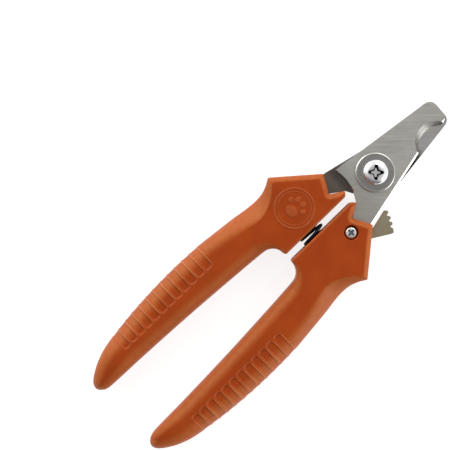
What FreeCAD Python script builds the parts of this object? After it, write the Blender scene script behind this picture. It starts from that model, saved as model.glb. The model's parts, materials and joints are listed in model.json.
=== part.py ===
"""Plier-type pet nail trimmer with a locking lever, as a parametric FreeCAD document.

The trimmer is two equal halves that cross at a pivot screw. Each half is drawn once, as the
"plain" half: pivot axis on Z, jaw tip towards +X, handle on +Y, blade just under the shear plane
z = 0. The other half is the same half turned over about X. Every placed piece is then moved so
that the origin lies under the middle of the whole tool, on the surface it rests on.
"""
import FreeCAD, Part
import math
import os

import Sketcher

Vector = FreeCAD.Vector

# ---------------------------------------------------------------- driving dimensions, millimetres

SIZES = {
    "pivot_x": (48.7, "pivot axis ahead of the middle of the tool"),
    "half_height": (7.0, "shear plane above the resting plane, half the handles' thickness"),
    "shear_gap": (0.02, "each blade's distance from the shear plane"),
    "blade_thick": (2.5, "blade sheet, measured from the shear plane"),
    "pivot_hole": (2.55, "radius of the pivot hole in a blade"),
    "notch_outer": (7.8, "notch radius at the blade's outer face"),
    "notch_edge": (9.08, "notch radius at the cutting edge"),
    "notch_x": (24.4, "notch centre along the blade"),
    "notch_outer_y": (7.6, "notch centre at the outer face"),
    "notch_edge_y": (11.25, "notch centre at the cutting edge"),
    "shoulder_arc": (14.7, "radius of the blade's curved shoulder"),
    "key_hole": (2.2, "radius of the tang's moulding holes"),
    "key_hole_x": (-41.0, "first moulding hole"),
    "key_hole_y": (13.6, "moulding holes"),
    "key_hole_step": (19.0, "distance between the moulding holes"),
    "edge_bevel": (0.45, "ground bevel along the cutting side"),
    "tip_inner_round": (1.5, "corner radius of the jaw tip beside the notch"),
    "tip_outer_round": (3.2, "corner radius of the jaw tip on its back"),
    "tang_round": (2.5, "corner radius at the end of the tang"),
    "screw_shank": (2.5, "M5 pivot screw"),
    "screw_head": (4.75, "M5 pan head radius"),
    "screw_head_tall": (3.7, "M5 pan head height"),
    "screw_chamfer": (0.4, "lead-in chamfer at the end of the pivot screw"),
    "screw_cross": (3.1, "half the span of the pivot screw's cross recess"),
    "screw_cross_arm": (0.62, "half the width of an arm of that recess"),
    "screw_cross_deep": (2.2, "depth of that recess"),
    "screw_under": (6.75, "end of the pivot screw below the shear plane"),
    "washer_outer": (7.5, "pivot washer radius"),
    "washer_inner": (2.65, "pivot washer hole"),
    "washer_thick": (1.2, "pivot washer"),
    "washer_rim": (0.25, "chamfer round a pivot washer"),
    "washer_play": (0.03, "running gap under the top washer"),
    "nut_flats": (8.0, "M5 thin nut across flats"),
    "nut_thick": (2.7, "M5 thin nut"),
    "throat_arc": (5.3, "radius of the throat between block and grip"),
    "block_round": (0.9, "edge rounding of the block"),
    "finger_round": (1.2, "corner radius at the front of the handles' facing edges"),
    "flute_pitch": (3.86, "pitch of the grip flutes"),
    "flute_count": (12, "number of flutes on each grip"),
    "flute_land": (0.7, "rib between two flutes"),
    "flute_first_x": (-113.4, "rear end of the rearmost flute"),
    "flute_top_y": (17.6, "inner end of the flutes"),
    "flute_out_y": (30.0, "flute cutters run out to here"),
    "flute_deep": (0.45, "depth of the flutes"),
    "socket_x": (-32.8, "spring axis"),
    "socket_round": (5.6, "spring socket radius"),
    "socket_end_y": (6.65, "bottom of the spring socket"),
    "spring_mean": (4.7, "mean coil radius"),
    "spring_wire": (0.5, "wire radius"),
    "spring_half": (5.9, "half the helix height, wire centre to wire centre"),
    "spring_pitch": (1.97, "coil pitch with the jaws closed"),
    "lever_x": (-22.3, "lever pivot"),
    "lever_y": (9.7, "lever pivot"),
    "lever_hub": (3.0, "lever hub radius"),
    "lever_hole": (1.32, "lever bore radius"),
    "lever_top": (0.15, "lever face next to the blade, from the shear plane"),
    "lever_thick": (2.15, "lever plate"),
    "lever_washer_outer": (2.6, "spring washer radius"),
    "lever_washer_thick": (0.3, "spring washer"),
    "slot_deep": (2.6, "far face of the lever slot"),
    "slot_round": (3.5, "slot radius round the hub"),
    "small_shank": (1.25, "M2.5 lever screw"),
    "small_clear": (1.3, "clearance hole for the lever screw"),
    "small_head": (2.45, "lever screw head radius"),
    "small_head_tall": (1.7, "lever screw head height"),
    "small_cross": (1.55, "half the span of the lever screw's cross recess"),
    "small_cross_arm": (0.34, "half the width of an arm of that recess"),
    "small_cross_deep": (1.1, "depth of that recess"),
    "small_sink": (2.75, "counterbore radius"),
    "small_sink_floor": (4.7, "counterbore floor from the shear plane"),
    "small_under": (6.6, "end of the lever screw from the shear plane"),
    "small_nut_flats": (5.0, "M2.5 nut across flats"),
    "small_nut_thick": (2.0, "M2.5 nut"),
    "small_nut_play": (0.1, "nut pocket wider than the nut, across flats"),
    "small_nut_floor": (4.7, "floor of the nut pocket from the shear plane"),
    "emblem_x": (-31.3, "emblem centre"),
    "emblem_y": (11.6, "emblem centre"),
    "emblem_ring": (7.8, "emblem ring radius"),
    "emblem_line": (0.5, "width of the emblem's ring"),
    "emblem_tall": (0.25, "relief of the emblem"),
    "emblem_root": (0.3, "how far the relief is rooted in the handle"),
}

# Corner points of the plain half, each one (x, y).
POINTS = {
    # blade
    "edge_root": (-13.6, 13.0),
    "notch_rear": (16.5, 6.2),
    "notch_front": (31.7, 4.3),
    "tip_inner": (33.9, 2.9),
    "tip_outer": (34.4, -5.26),
    "shoulder": (-10.1, -11.1),
    "waist": (-11.2, 0.0),
    "heel": (-12.7, 2.8),
    "tang_inner": (-17.8, 6.3),
    "tang_neck": (-24.0, 8.2),
    "tang_end_inner": (-74.0, 12.0),
    "tang_end_outer": (-74.0, 18.0),
    "tang_outer": (-20.0, 13.6),
    # block of the handle
    "corner": (-30.2, 26.6),
    "front": (-14.4, 13.3),
    "crotch": (-18.2, 6.2),
    "finger": (-13.0, 3.1),
    "face_front": (-14.4, 1.4),
    "face_rear": (-45.9, 1.4),
    "grip_root": (-51.0, 7.8),
    "crease_low": (-52.0, 10.5),
    "crease_mid": (-45.0, 18.5),
    # lock lever
    "arm_root": (-20.8, 7.1),
    "nose_top": (-10.4, 11.27),
    "nose_foot": (-10.5, 12.15),
    "slit_top": (-16.6, 13.52),
    "slit_foot": (-17.0, 15.0),
    "tab_top": (-7.4, 12.55),
    "tab_foot": (-10.4, 21.3),
    "tab_heel": (-11.7, 20.8),
    "lever_low": (-19.2, 16.3),
    "lever_rear": (-24.4, 11.9),
    # lever slot
    "slot_inner": (-22.3, 6.2),
    "slot_mouth": (-18.1, 6.5),
    "slot_ahead": (-8.0, 6.5),
    "slot_far": (-8.0, 26.0),
    "slot_out": (-16.5, 26.0),
    "slot_wall": (-21.6, 17.5),
    "slot_rear": (-25.4, 11.8),
}

# Grip cross-sections from the front corner to the tail: x, inner y, outer y, half height.
GRIP_STATIONS = (
    (-30.6, 9.5, 26.3, 6.6),
    (-34.0, 9.0, 24.75, 6.9),
    (-39.5, 8.6, 23.6, 6.94),
    (-50.0, 7.9, 24.8, 6.94),
    (-62.0, 8.7, 26.15, 6.94),
    (-77.0, 9.6, 27.05, 6.94),
    (-92.0, 10.4, 26.7, 6.94),
    (-107.0, 11.1, 25.4, 6.94),
    (-118.0, 11.5, 23.7, 6.7),
    (-125.5, 11.8, 21.0, 5.7),
    (-129.8, 12.9, 18.3, 3.6),
    (-131.6, 14.7, 16.3, 1.1),
)
CORNER_SHARE = 0.72  # corner radius of a section, as a share of the most that fits
INSET_SHARE = 0.4  # a section is drawn in by no more than this share of its half height

# Crowns of the two screw heads: step in from the head's radius, step up from its seat.
PIVOT_CROWN = ((0.0, 1.5), (0.45, 2.5), (1.3, 3.2), (2.5, 3.58))
SMALL_CROWN = ((0.0, 0.7), (0.3, 1.25), (0.9, 1.6))
PIVOT_CROSS_TURN = 45
SMALL_CROSS_TURN = 0

# Pads of the emblem's paw print: along and across from its centre, radius.
PAW_PADS = ((-1.6, 0.0, 2.3), (1.4, 3.1, 0.95), (3.3, 1.3, 1.05), (3.3, -1.3, 1.05), (1.4, -3.1, 0.95))

TOOTH_COUNT = 4
TOOTH_REACH = 16.3
TOOTH_VALLEY = 15.2

BLOCK_REAR_X = -23.5  # the block's outline ahead of this is rounded on its outer side
THROAT_Y = 7.0
THROAT_REAR_X = -49.0
LONG_EDGE = 10.0
WIDE_CIRCLE = 5.0

PLAIN_HALF = False
TURNED_HALF = True

doc = FreeCAD.newDocument("PetNailTrimmer")
pieces = []


# ---------------------------------------------------------------- sheet and small helpers

def fill_sheet():
    """Write every driving dimension into the sheet, one aliased cell each."""
    table = doc.addObject("Spreadsheet::Sheet", "Sizes")
    rows = [(alias, value, meaning) for alias, (value, meaning) in SIZES.items()]
    for name, (x, y) in POINTS.items():
        rows.append((name + "_x", x, name + " point, x"))
        rows.append((name + "_y", y, name + " point, y"))
    for row, (alias, value, meaning) in enumerate(rows, start=1):
        table.set("A%d" % row, meaning)
        table.set("B%d" % row, str(value))
        table.setAlias("B%d" % row, alias)
    doc.recompute()
    return table


def size(alias):
    """Read one driving dimension back from the sheet."""
    return float(sheet.get(alias))


def place(piece, turned):
    """Put a piece of the plain or the turned half into the tool's frame."""
    if turned:
        piece.Placement = FreeCAD.Placement(Vector(), FreeCAD.Rotation(Vector(1, 0, 0), 180))
    piece.setExpression("Placement.Base.x", "Sizes.pivot_x")
    piece.setExpression("Placement.Base.z", "Sizes.half_height")


def new_body(label, turned):
    """Start a PartDesign body in the plain or the turned half."""
    body = doc.addObject("PartDesign::Body", label)
    body.Label = label
    place(body, turned)
    return body


def new_sketch(body, name, role="XY_Plane", offset=None):
    """Sketch on one of the body's own origin planes, at an optional expression's offset."""
    plane = [feature for feature in body.Origin.OriginFeatures if feature.Role == role][0]
    sketch = body.newObject("Sketcher::SketchObject", name)
    sketch.AttachmentSupport = [(plane, "")]
    sketch.MapMode = "FlatFace"
    if offset is not None:
        sketch.setExpression("AttachmentOffset.Base.z", offset)
    return sketch


def pin_point(sketch, geometry, end, x_text, y_text, x_now, y_now):
    """Hold one end of a sketch element at a place given by two expressions."""
    for kind, text, now in (("DistanceX", x_text, x_now), ("DistanceY", y_text, y_now)):
        number = sketch.addConstraint(Sketcher.Constraint(kind, geometry, end, now))
        sketch.setExpression("Constraints[%d]" % number, text)


def arc_through(start, end, radius, bulge):
    """Arc of a given radius between two points, bulging left (+1) or right (-1) of the chord."""
    chord = end - start
    rise = radius - math.sqrt(radius ** 2 - (chord.Length / 2) ** 2)
    side = Vector(-chord.y, chord.x, 0).normalize() * bulge
    return Part.Arc(start, (start + end) * 0.5 + side * rise, end)


def trace(sketch, names, arcs=None):
    """Closed outline through named points; arcs maps a start point to (radius alias, bulge)."""
    arcs = arcs or {}
    spots = [Vector(size(name + "_x"), size(name + "_y"), 0) for name in names]
    numbers = []
    flips = []
    for index, name in enumerate(names):
        start = spots[index]
        end = spots[(index + 1) % len(names)]
        if name in arcs:
            radius_alias, bulge = arcs[name]
            curve = arc_through(start, end, size(radius_alias), bulge)
            number = sketch.addGeometry(curve, False)
            flips.append(sketch.Geometry[number].StartPoint.distanceToPoint(start) > 1e-6)
            held = sketch.addConstraint(Sketcher.Constraint("Radius", number, size(radius_alias)))
            sketch.setExpression("Constraints[%d]" % held, "Sizes." + radius_alias)
        else:
            number = sketch.addGeometry(Part.LineSegment(start, end), False)
            flips.append(False)
        numbers.append(number)
    for index, name in enumerate(names):
        following = (index + 1) % len(names)
        own_end = 1 if flips[index] else 2
        next_start = 2 if flips[following] else 1
        sketch.addConstraint(Sketcher.Constraint(
            "Coincident", numbers[index], own_end, numbers[following], next_start))
        own_start = 2 if flips[index] else 1
        pin_point(sketch, numbers[index], own_start, "Sizes.%s_x" % name, "Sizes.%s_y" % name,
                  spots[index].x, spots[index].y)


def ring(sketch, radius, x="0", y="0"):
    """Circle whose radius and centre are expressions of the sheet."""
    values = [sheet_value(text) for text in (radius, x, y)]
    number = sketch.addGeometry(
        Part.Circle(Vector(values[1], values[2], 0), Vector(0, 0, 1), values[0]), False)
    held = sketch.addConstraint(Sketcher.Constraint("Radius", number, values[0]))
    sketch.setExpression("Constraints[%d]" % held, radius)
    pin_point(sketch, number, 3, x, y, values[1], values[2])


def sheet_value(text):
    """Present value of an expression of the sheet."""
    return float(sheet.evalExpression(text))


def feature(body, kind, name, profile, **settings):
    """Add a feature made from a sketch; text settings are expressions of the sheet."""
    made = body.newObject("PartDesign::" + kind, name)
    made.Profile = profile
    for setting, value in settings.items():
        if isinstance(value, str) and value.startswith("="):
            made.setExpression(setting, value[1:])
        else:
            setattr(made, setting, value)
    doc.recompute()
    return made


def edges_where(shape, test):
    """Names of the edges whose middle point passes a test."""
    return ["Edge%d" % (number + 1) for number, edge in enumerate(shape.Edges)
            if test(edge, edge.valueAt((edge.FirstParameter + edge.LastParameter) / 2))]


def upright_at(point_name):
    """Test for the upright edge that stands on a named corner point."""
    spot = Vector(size(point_name + "_x"), size(point_name + "_y"), 0)

    def test(edge, middle):
        upright = abs(edge.tangentAt(edge.FirstParameter).z) > 0.99
        return upright and Vector(middle.x, middle.y, 0).distanceToPoint(spot) < 0.05
    return test


def keep(piece):
    """Count a finished object as one of the tool's separate pieces."""
    pieces.append(piece)
    return piece


# ---------------------------------------------------------------- blades

def blade(label, turned):
    """Jaw blade: stamped outline, pivot hole, bevelled half-round notch and tang holes."""
    body = new_body(label, turned)
    outline = new_sketch(body, label + "_outline", offset="-Sizes.shear_gap")
    trace(outline, ("edge_root", "notch_rear", "notch_front", "tip_inner", "tip_outer", "shoulder",
                    "waist", "heel", "tang_inner", "tang_neck", "tang_end_inner", "tang_end_outer",
                    "tang_outer"), {"shoulder": ("shoulder_arc", -1)})
    plate = feature(body, "Pad", label + "_plate", outline, Reversed=True,
                    Length="=Sizes.blade_thick - Sizes.shear_gap")
    corners = (("tip_inner", "tip_inner_round"), ("tip_outer", "tip_outer_round"),
               ("tang_end_inner", "tang_round"), ("tang_end_outer", "tang_round"))
    base = plate
    for name, radius_alias in corners:
        rounding = body.newObject("PartDesign::Fillet", label + "_" + name)
        rounding.Base = (base, edges_where(base.Shape, upright_at(name)))
        rounding.setExpression("Radius", "Sizes." + radius_alias)
        doc.recompute()
        base = rounding
    outer = new_sketch(body, label + "_notch_outer", offset="-Sizes.blade_thick")
    ring(outer, "Sizes.notch_outer", "Sizes.notch_x", "Sizes.notch_outer_y")
    inner = new_sketch(body, label + "_notch_edge", offset="-Sizes.shear_gap")
    ring(inner, "Sizes.notch_edge", "Sizes.notch_x", "Sizes.notch_edge_y")
    feature(body, "SubtractiveLoft", label + "_notch", outer, Sections=[inner], Ruled=True)
    holes = new_sketch(body, label + "_holes", offset="-Sizes.shear_gap")
    ring(holes, "Sizes.pivot_hole")
    ring(holes, "Sizes.small_clear", "Sizes.lever_x", "Sizes.lever_y")
    for x in ("Sizes.key_hole_x", "Sizes.key_hole_x - Sizes.key_hole_step"):
        ring(holes, "Sizes.key_hole", x, "Sizes.key_hole_y")
    pierced = feature(body, "Pocket", label + "_pierced", holes, Type="ThroughAll", Reversed=False)
    root = Vector(size("edge_root_x"), size("edge_root_y"), 0)
    along = Vector(size("notch_rear_x"), size("notch_rear_y"), 0) - root

    def cutting_side(edge, middle):
        at_face = abs(middle.z + size("blade_thick")) < 1e-6
        offset = (Vector(middle.x, middle.y, 0) - root).cross(along).Length / along.Length
        return at_face and offset < 1e-3 and edge.Length > LONG_EDGE
    bevel = body.newObject("PartDesign::Chamfer", label + "_bevel")
    bevel.Base = (pierced, edges_where(pierced.Shape, cutting_side))
    bevel.setExpression("Size", "Sizes.edge_bevel")
    doc.recompute()
    return keep(body)


# ---------------------------------------------------------------- handles

def rounded_section(body, name, station):
    """Upright rounded rectangle at one station of the grip."""
    x, inner, outer, half = station
    radius = CORNER_SHARE * min((outer - inner) / 2, half)
    sketch = new_sketch(body, name, "YZ_Plane", str(x))
    corners = ((outer - radius, half - radius, 0), (inner + radius, half - radius, 90),
               (inner + radius, radius - half, 180), (outer - radius, radius - half, 270))
    arcs = []
    for centre_y, centre_z, turn in corners:
        circle = Part.Circle(Vector(centre_y, centre_z, 0), Vector(0, 0, 1), radius)
        arcs.append(sketch.addGeometry(Part.ArcOfCircle(
            circle, math.radians(turn), math.radians(turn + 90)), False))
    for index, arc in enumerate(arcs):
        following = arcs[(index + 1) % 4]
        line = sketch.addGeometry(Part.LineSegment(
            sketch.Geometry[arc].EndPoint, sketch.Geometry[following].StartPoint), False)
        sketch.addConstraint(Sketcher.Constraint("Coincident", arc, 2, line, 1))
        sketch.addConstraint(Sketcher.Constraint("Coincident", line, 2, following, 1))
    return sketch


def grip(body, name, inset):
    """Lofted grip through its stations, drawn in by an inset."""
    sections = []
    for number, (x, inner, outer, half) in enumerate(GRIP_STATIONS):
        drawn = min(inset, INSET_SHARE * half)
        station = (x, inner + drawn, outer - drawn, half - drawn)
        sections.append(rounded_section(body, "%s_section_%d" % (name, number + 1), station))
    doc.recompute()
    return feature(body, "AdditiveLoft", name, sections[0], Sections=sections[1:], Ruled=False)


def handle_blank(label, turned):
    """Handle without blade, flutes or sockets: flat block with rounded edges, and the grip."""
    body = new_body(label + "_blank", turned)
    outline = new_sketch(body, label + "_outline")
    trace(outline, ("corner", "front", "crotch", "finger", "face_front", "face_rear",
                    "grip_root", "crease_low", "crease_mid"), {"face_rear": ("throat_arc", -1)})
    block = feature(body, "Pad", label + "_block", outline, Midplane=True,
                    Length="=2 * Sizes.half_height")
    softened = body.newObject("PartDesign::Fillet", label + "_finger_round")
    softened.Base = (block, edges_where(block.Shape, upright_at("face_front")))
    softened.setExpression("Radius", "Sizes.finger_round")
    doc.recompute()
    half = size("half_height")

    def rim(edge, middle):
        level = abs(abs(middle.z) - half) < 1e-6
        outside = middle.x > BLOCK_REAR_X or (middle.y < THROAT_Y and middle.x > THROAT_REAR_X)
        return level and outside
    rounded = body.newObject("PartDesign::Fillet", label + "_block_round")
    rounded.Base = (softened, edges_where(softened.Shape, rim))
    rounded.setExpression("Radius", "Sizes.block_round")
    doc.recompute()
    grip(body, label + "_grip", 0.0)
    return body


def flute_cutters(label, turned):
    """Row of flute prisms over the grip's outer side, minus the core that the flutes stop at."""
    row = new_body(label + "_flute_row", turned)
    sketch = new_sketch(row, label + "_flute")
    width = size("flute_pitch") - size("flute_land")
    radius = width / 2
    first_x = size("flute_first_x")
    top = size("flute_top_y") + radius
    reach = size("flute_out_y")
    left = Vector(first_x, top, 0)
    right = Vector(first_x + width, top, 0)
    far_right = Vector(first_x + width, reach, 0)
    far_left = Vector(first_x, reach, 0)
    arc = Part.Arc(left, Vector(first_x + radius, top - radius, 0), right)
    for curve in (arc, Part.LineSegment(right, far_right), Part.LineSegment(far_right, far_left),
                  Part.LineSegment(far_left, left)):
        sketch.addGeometry(curve, False)
    pad = feature(row, "Pad", label + "_flute_pad", sketch, Midplane=True,
                  Length="=4 * Sizes.half_height")
    pattern = row.newObject("PartDesign::LinearPattern", label + "_flute_pattern")
    pattern.Originals = [pad]
    axis = [item for item in row.Origin.OriginFeatures if item.Role == "X_Axis"][0]
    pattern.Direction = (axis, [""])
    pattern.setExpression("Occurrences", "Sizes.flute_count")
    pattern.setExpression("Length", "(Sizes.flute_count - 1) * Sizes.flute_pitch")
    row.Tip = pattern
    core = new_body(label + "_core", turned)
    grip(core, label + "_core_grip", size("flute_deep"))
    cutters = doc.addObject("Part::Cut", label + "_flutes")
    cutters.Base = row
    cutters.Tool = core
    return cutters


def spring_socket(label, turned):
    """Cylinder on the spring's axis that leaves a blind socket in the handle's facing edge."""
    socket = doc.addObject("Part::Cylinder", label + "_socket")
    socket.setExpression("Radius", "Sizes.socket_round")
    socket.setExpression("Height", "Sizes.socket_end_y")
    side = -1 if turned else 1
    socket.Placement = FreeCAD.Placement(Vector(), FreeCAD.Rotation(Vector(1, 0, 0), -90 * side))
    socket.setExpression("Placement.Base.x", "Sizes.pivot_x + Sizes.socket_x")
    socket.setExpression("Placement.Base.z", "Sizes.half_height")
    return socket


def subtract(label, base, tools):
    """Cut a list of tools from a base, one after the other, and give the result its label."""
    result = base
    for number, tool in enumerate(tools):
        cut = doc.addObject("Part::Cut", "%s_cut_%d" % (label, number + 1))
        cut.Base = result
        cut.Tool = tool
        result = cut
    doc.recompute()
    result.Label = label
    return result


def emblem(body):
    """Relief on the left handle's upper face: a ring round a paw print of five round pads."""
    for name in ("emblem_ring", "emblem_paw"):
        relief = new_sketch(body, name + "_outline", offset="Sizes.half_height - Sizes.emblem_root")
        if name == "emblem_ring":
            ring(relief, "Sizes.emblem_ring", "Sizes.emblem_x", "Sizes.emblem_y")
            ring(relief, "Sizes.emblem_ring - Sizes.emblem_line", "Sizes.emblem_x", "Sizes.emblem_y")
        else:
            for along, across, radius in PAW_PADS:
                ring(relief, str(radius), "Sizes.emblem_x + %g" % along, "Sizes.emblem_y + %g" % across)
        feature(body, "Pad", name + "_relief", relief, Length="=Sizes.emblem_tall + Sizes.emblem_root")


def left_handle(blade_body):
    """Left handle: blank with the emblem, flutes, spring socket and tang pocket."""
    blank = handle_blank("handle_left", PLAIN_HALF)
    emblem(blank)
    return keep(subtract("handle_left", blank, [
        flute_cutters("left", PLAIN_HALF), spring_socket("left", PLAIN_HALF), blade_body]))


def lever_housing():
    """Everything cut from the right handle for the lever: slot, screw hole, counterbore, nut pocket."""
    body = new_body("lever_housing", TURNED_HALF)
    hub = new_sketch(body, "slot_hub", offset="-Sizes.shear_gap")
    ring(hub, "Sizes.slot_round", "Sizes.lever_x", "Sizes.lever_y")
    feature(body, "Pad", "slot_hub_pad", hub, Length="=Sizes.slot_deep + Sizes.shear_gap")
    mouth = new_sketch(body, "slot_mouth", offset="-Sizes.shear_gap")
    trace(mouth, ("slot_inner", "slot_mouth", "slot_ahead", "slot_far", "slot_out", "slot_wall",
                  "slot_rear"))
    feature(body, "Pad", "slot_mouth_pad", mouth, Length="=Sizes.slot_deep + Sizes.shear_gap")
    hole = new_sketch(body, "screw_hole")
    ring(hole, "Sizes.small_clear", "Sizes.lever_x", "Sizes.lever_y")
    feature(body, "Pad", "screw_hole_pad", hole, Midplane=True, Length="=2 * Sizes.half_height")
    sink = new_sketch(body, "counterbore", offset="-Sizes.half_height - 1")
    ring(sink, "Sizes.small_sink", "Sizes.lever_x", "Sizes.lever_y")
    feature(body, "Pad", "counterbore_pad", sink,
            Length="=Sizes.half_height + 1 - Sizes.small_sink_floor")
    return body


def hexagon(name, flats, thick, turned, bottom):
    """Hexagonal prism on the lever's or the pivot's axis; all four sizes are expressions."""
    prism = doc.addObject("Part::Prism", name)
    prism.Polygon = 6
    prism.setExpression("Circumradius", "(%s) / 2 / cos(30)" % flats)
    prism.setExpression("Height", thick)
    prism.setExpression("Placement.Base.x", "Sizes.pivot_x" + (" + Sizes.lever_x" if turned else ""))
    if turned:
        prism.setExpression("Placement.Base.y", "-Sizes.lever_y")
    prism.setExpression("Placement.Base.z", bottom)
    return prism


def right_handle(blade_body):
    """Right handle: blank with flutes, socket, tang pocket and the lever's housing."""
    blank = handle_blank("handle_right", TURNED_HALF)
    nut_pocket = hexagon("nut_pocket", "Sizes.small_nut_flats + Sizes.small_nut_play",
                         "Sizes.half_height + 1 - Sizes.small_nut_floor", True, "-1")
    return keep(subtract("handle_right", blank, [
        flute_cutters("right", TURNED_HALF), spring_socket("right", TURNED_HALF), blade_body,
        lever_housing(), nut_pocket]))


# ---------------------------------------------------------------- turned hardware

def lathe(sketch, body, name, corners):
    """Revolve a half-profile, given as (radius text, height text) corners, about the Z axis."""
    spots = [Vector(sheet_value(r), sheet_value(z), 0) for r, z in corners]
    for index, spot in enumerate(spots):
        following = (index + 1) % len(spots)
        number = sketch.addGeometry(Part.LineSegment(spot, spots[following]), False)
        pin_point(sketch, number, 1, corners[index][0], corners[index][1], spot.x, spot.y)
        if index:
            sketch.addConstraint(Sketcher.Constraint("Coincident", number - 1, 2, number, 1))
    sketch.addConstraint(Sketcher.Constraint("Coincident", len(spots) - 1, 2, 0, 1))
    feature(body, "Revolution", name, sketch, ReferenceAxis=(sketch, ["V_Axis"]), Angle=360)


def cross_recess(body, name, top, aliases, tilt, upward=False):
    """Cross recess cut into a screw's head from its top; aliases are its span, arm and depth."""
    span, width = size(aliases[0]), size(aliases[1])
    sketch = new_sketch(body, name, offset=top)
    corners = ((span, -width), (span, width), (width, width), (width, span), (-width, span),
               (-width, width), (-span, width), (-span, -width), (-width, -width), (-width, -span),
               (width, -span), (width, -width))
    turn = math.radians(tilt)
    spots = [Vector(x * math.cos(turn) - y * math.sin(turn), x * math.sin(turn) + y * math.cos(turn), 0)
             for x, y in corners]
    for index, spot in enumerate(spots):
        sketch.addGeometry(Part.LineSegment(spot, spots[(index + 1) % len(spots)]), False)
    before = body.Shape.Volume
    cut = feature(body, "Pocket", name + "_cut", sketch, Length="=Sizes." + aliases[2], Reversed=upward)
    if cut.Shape.Volume > before - 1:
        raise RuntimeError(name + " cuts nothing")


def pivot_hardware():
    """M5 pivot screw, two washers and the thin nut."""
    washer_low = "Sizes.blade_thick + Sizes.washer_play"
    seat = washer_low + " + Sizes.washer_thick"
    body = new_body("pivot_screw", PLAIN_HALF)
    profile = new_sketch(body, "pivot_screw_profile", "XZ_Plane")
    crown = seat + " + Sizes.screw_head_tall"
    lathe(profile, body, "pivot_screw_turned", (
        ("0", "-Sizes.screw_under"), ("Sizes.screw_shank - Sizes.screw_chamfer", "-Sizes.screw_under"),
        ("Sizes.screw_shank", "-Sizes.screw_under + Sizes.screw_chamfer"), ("Sizes.screw_shank", seat),
        ("Sizes.screw_head", seat),
        *(("Sizes.screw_head - %g" % inward, seat + " + %g" % up) for inward, up in PIVOT_CROWN),
        ("0", crown)))
    cross_recess(body, "pivot_recess", crown, ("screw_cross", "screw_cross_arm", "screw_cross_deep"),
                 PIVOT_CROSS_TURN)
    keep(body)
    washer_under = "-Sizes.blade_thick - Sizes.washer_thick"
    for label, bottom in (("top_washer", washer_low), ("bottom_washer", washer_under)):
        washer = new_body(label, PLAIN_HALF)
        flat = new_sketch(washer, label + "_flat", offset=bottom)
        ring(flat, "Sizes.washer_outer")
        ring(flat, "Sizes.washer_inner")
        disc = feature(washer, "Pad", label + "_disc", flat, Length="=Sizes.washer_thick")
        rounding = washer.newObject("PartDesign::Chamfer", label + "_rim")
        rounding.Base = (disc, edges_where(
            disc.Shape, lambda edge, middle: edge.Curve.TypeId == "Part::GeomCircle"
            and edge.Curve.Radius > WIDE_CIRCLE))
        rounding.setExpression("Size", "Sizes.washer_rim")
        doc.recompute()
        keep(washer)
    nut = hexagon("pivot_nut_blank", "Sizes.nut_flats", "Sizes.nut_thick", False,
                  "Sizes.half_height - Sizes.blade_thick - Sizes.washer_thick - Sizes.nut_thick")
    keep(subtract("pivot_nut", nut, [axis_hole("pivot_nut_bore", "Sizes.screw_shank", False)]))


def axis_hole(name, radius, at_lever):
    """Long cylinder on the pivot's or the lever's axis, to bore a nut."""
    bore = doc.addObject("Part::Cylinder", name)
    bore.setExpression("Radius", radius)
    bore.setExpression("Height", "2 * Sizes.half_height")
    bore.setExpression("Placement.Base.x", "Sizes.pivot_x" + (" + Sizes.lever_x" if at_lever else ""))
    if at_lever:
        bore.setExpression("Placement.Base.y", "-Sizes.lever_y")
    return bore


# ---------------------------------------------------------------- lock lever

def lock_lever():
    """Lever plate: hub, locking arm, thumb tab with four rounded teeth, and its bore."""
    body = new_body("lock_lever", TURNED_HALF)
    hub = new_sketch(body, "lever_hub", offset="Sizes.lever_top")
    ring(hub, "Sizes.lever_hub", "Sizes.lever_x", "Sizes.lever_y")
    feature(body, "Pad", "lever_hub_pad", hub, Length="=Sizes.lever_thick")
    plate = new_sketch(body, "lever_plate", offset="Sizes.lever_top")
    pivot = Vector(size("lever_x"), size("lever_y"), 0)
    names = ("lever_rear", "arm_root", "nose_top", "nose_foot", "slit_top", "slit_foot", "tab_top")
    spots = [Vector(size(name + "_x"), size(name + "_y"), 0) for name in names]
    foot = Vector(size("tab_foot_x"), size("tab_foot_y"), 0)
    first = math.atan2(spots[-1].y - pivot.y, spots[-1].x - pivot.x)
    last = math.atan2(foot.y - pivot.y, foot.x - pivot.x)
    curves = [Part.LineSegment(a, b) for a, b in zip(spots, spots[1:])]
    step = (last - first) / TOOTH_COUNT
    start = spots[-1]
    for tooth in range(TOOTH_COUNT):
        peak = pivot + toward(first + (tooth + 0.5) * step) * TOOTH_REACH
        last_tooth = tooth == TOOTH_COUNT - 1
        end = foot if last_tooth else pivot + toward(first + (tooth + 1) * step) * TOOTH_VALLEY
        curves.append(Part.Arc(start, peak, end))
        start = end
    tail = [foot] + [Vector(size(name + "_x"), size(name + "_y"), 0) for name in ("tab_heel", "lever_low")]
    tail.append(spots[0])
    curves += [Part.LineSegment(a, b) for a, b in zip(tail, tail[1:])]
    for curve in curves:
        plate.addGeometry(curve, False)
    pad = feature(body, "Pad", "lever_plate_pad", plate, Length="=Sizes.lever_thick")
    bore = new_sketch(body, "lever_bore", offset="Sizes.lever_top")
    ring(bore, "Sizes.lever_hole", "Sizes.lever_x", "Sizes.lever_y")
    cut = feature(body, "Pocket", "lever_bore_cut", bore, Type="ThroughAll", Reversed=True)
    if cut.Shape.Volume > pad.Shape.Volume - 1:
        raise RuntimeError("the lever bore cuts nothing")
    return keep(body)


def toward(angle):
    """Unit vector at an angle in the XY plane."""
    return Vector(math.cos(angle), math.sin(angle), 0)


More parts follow.
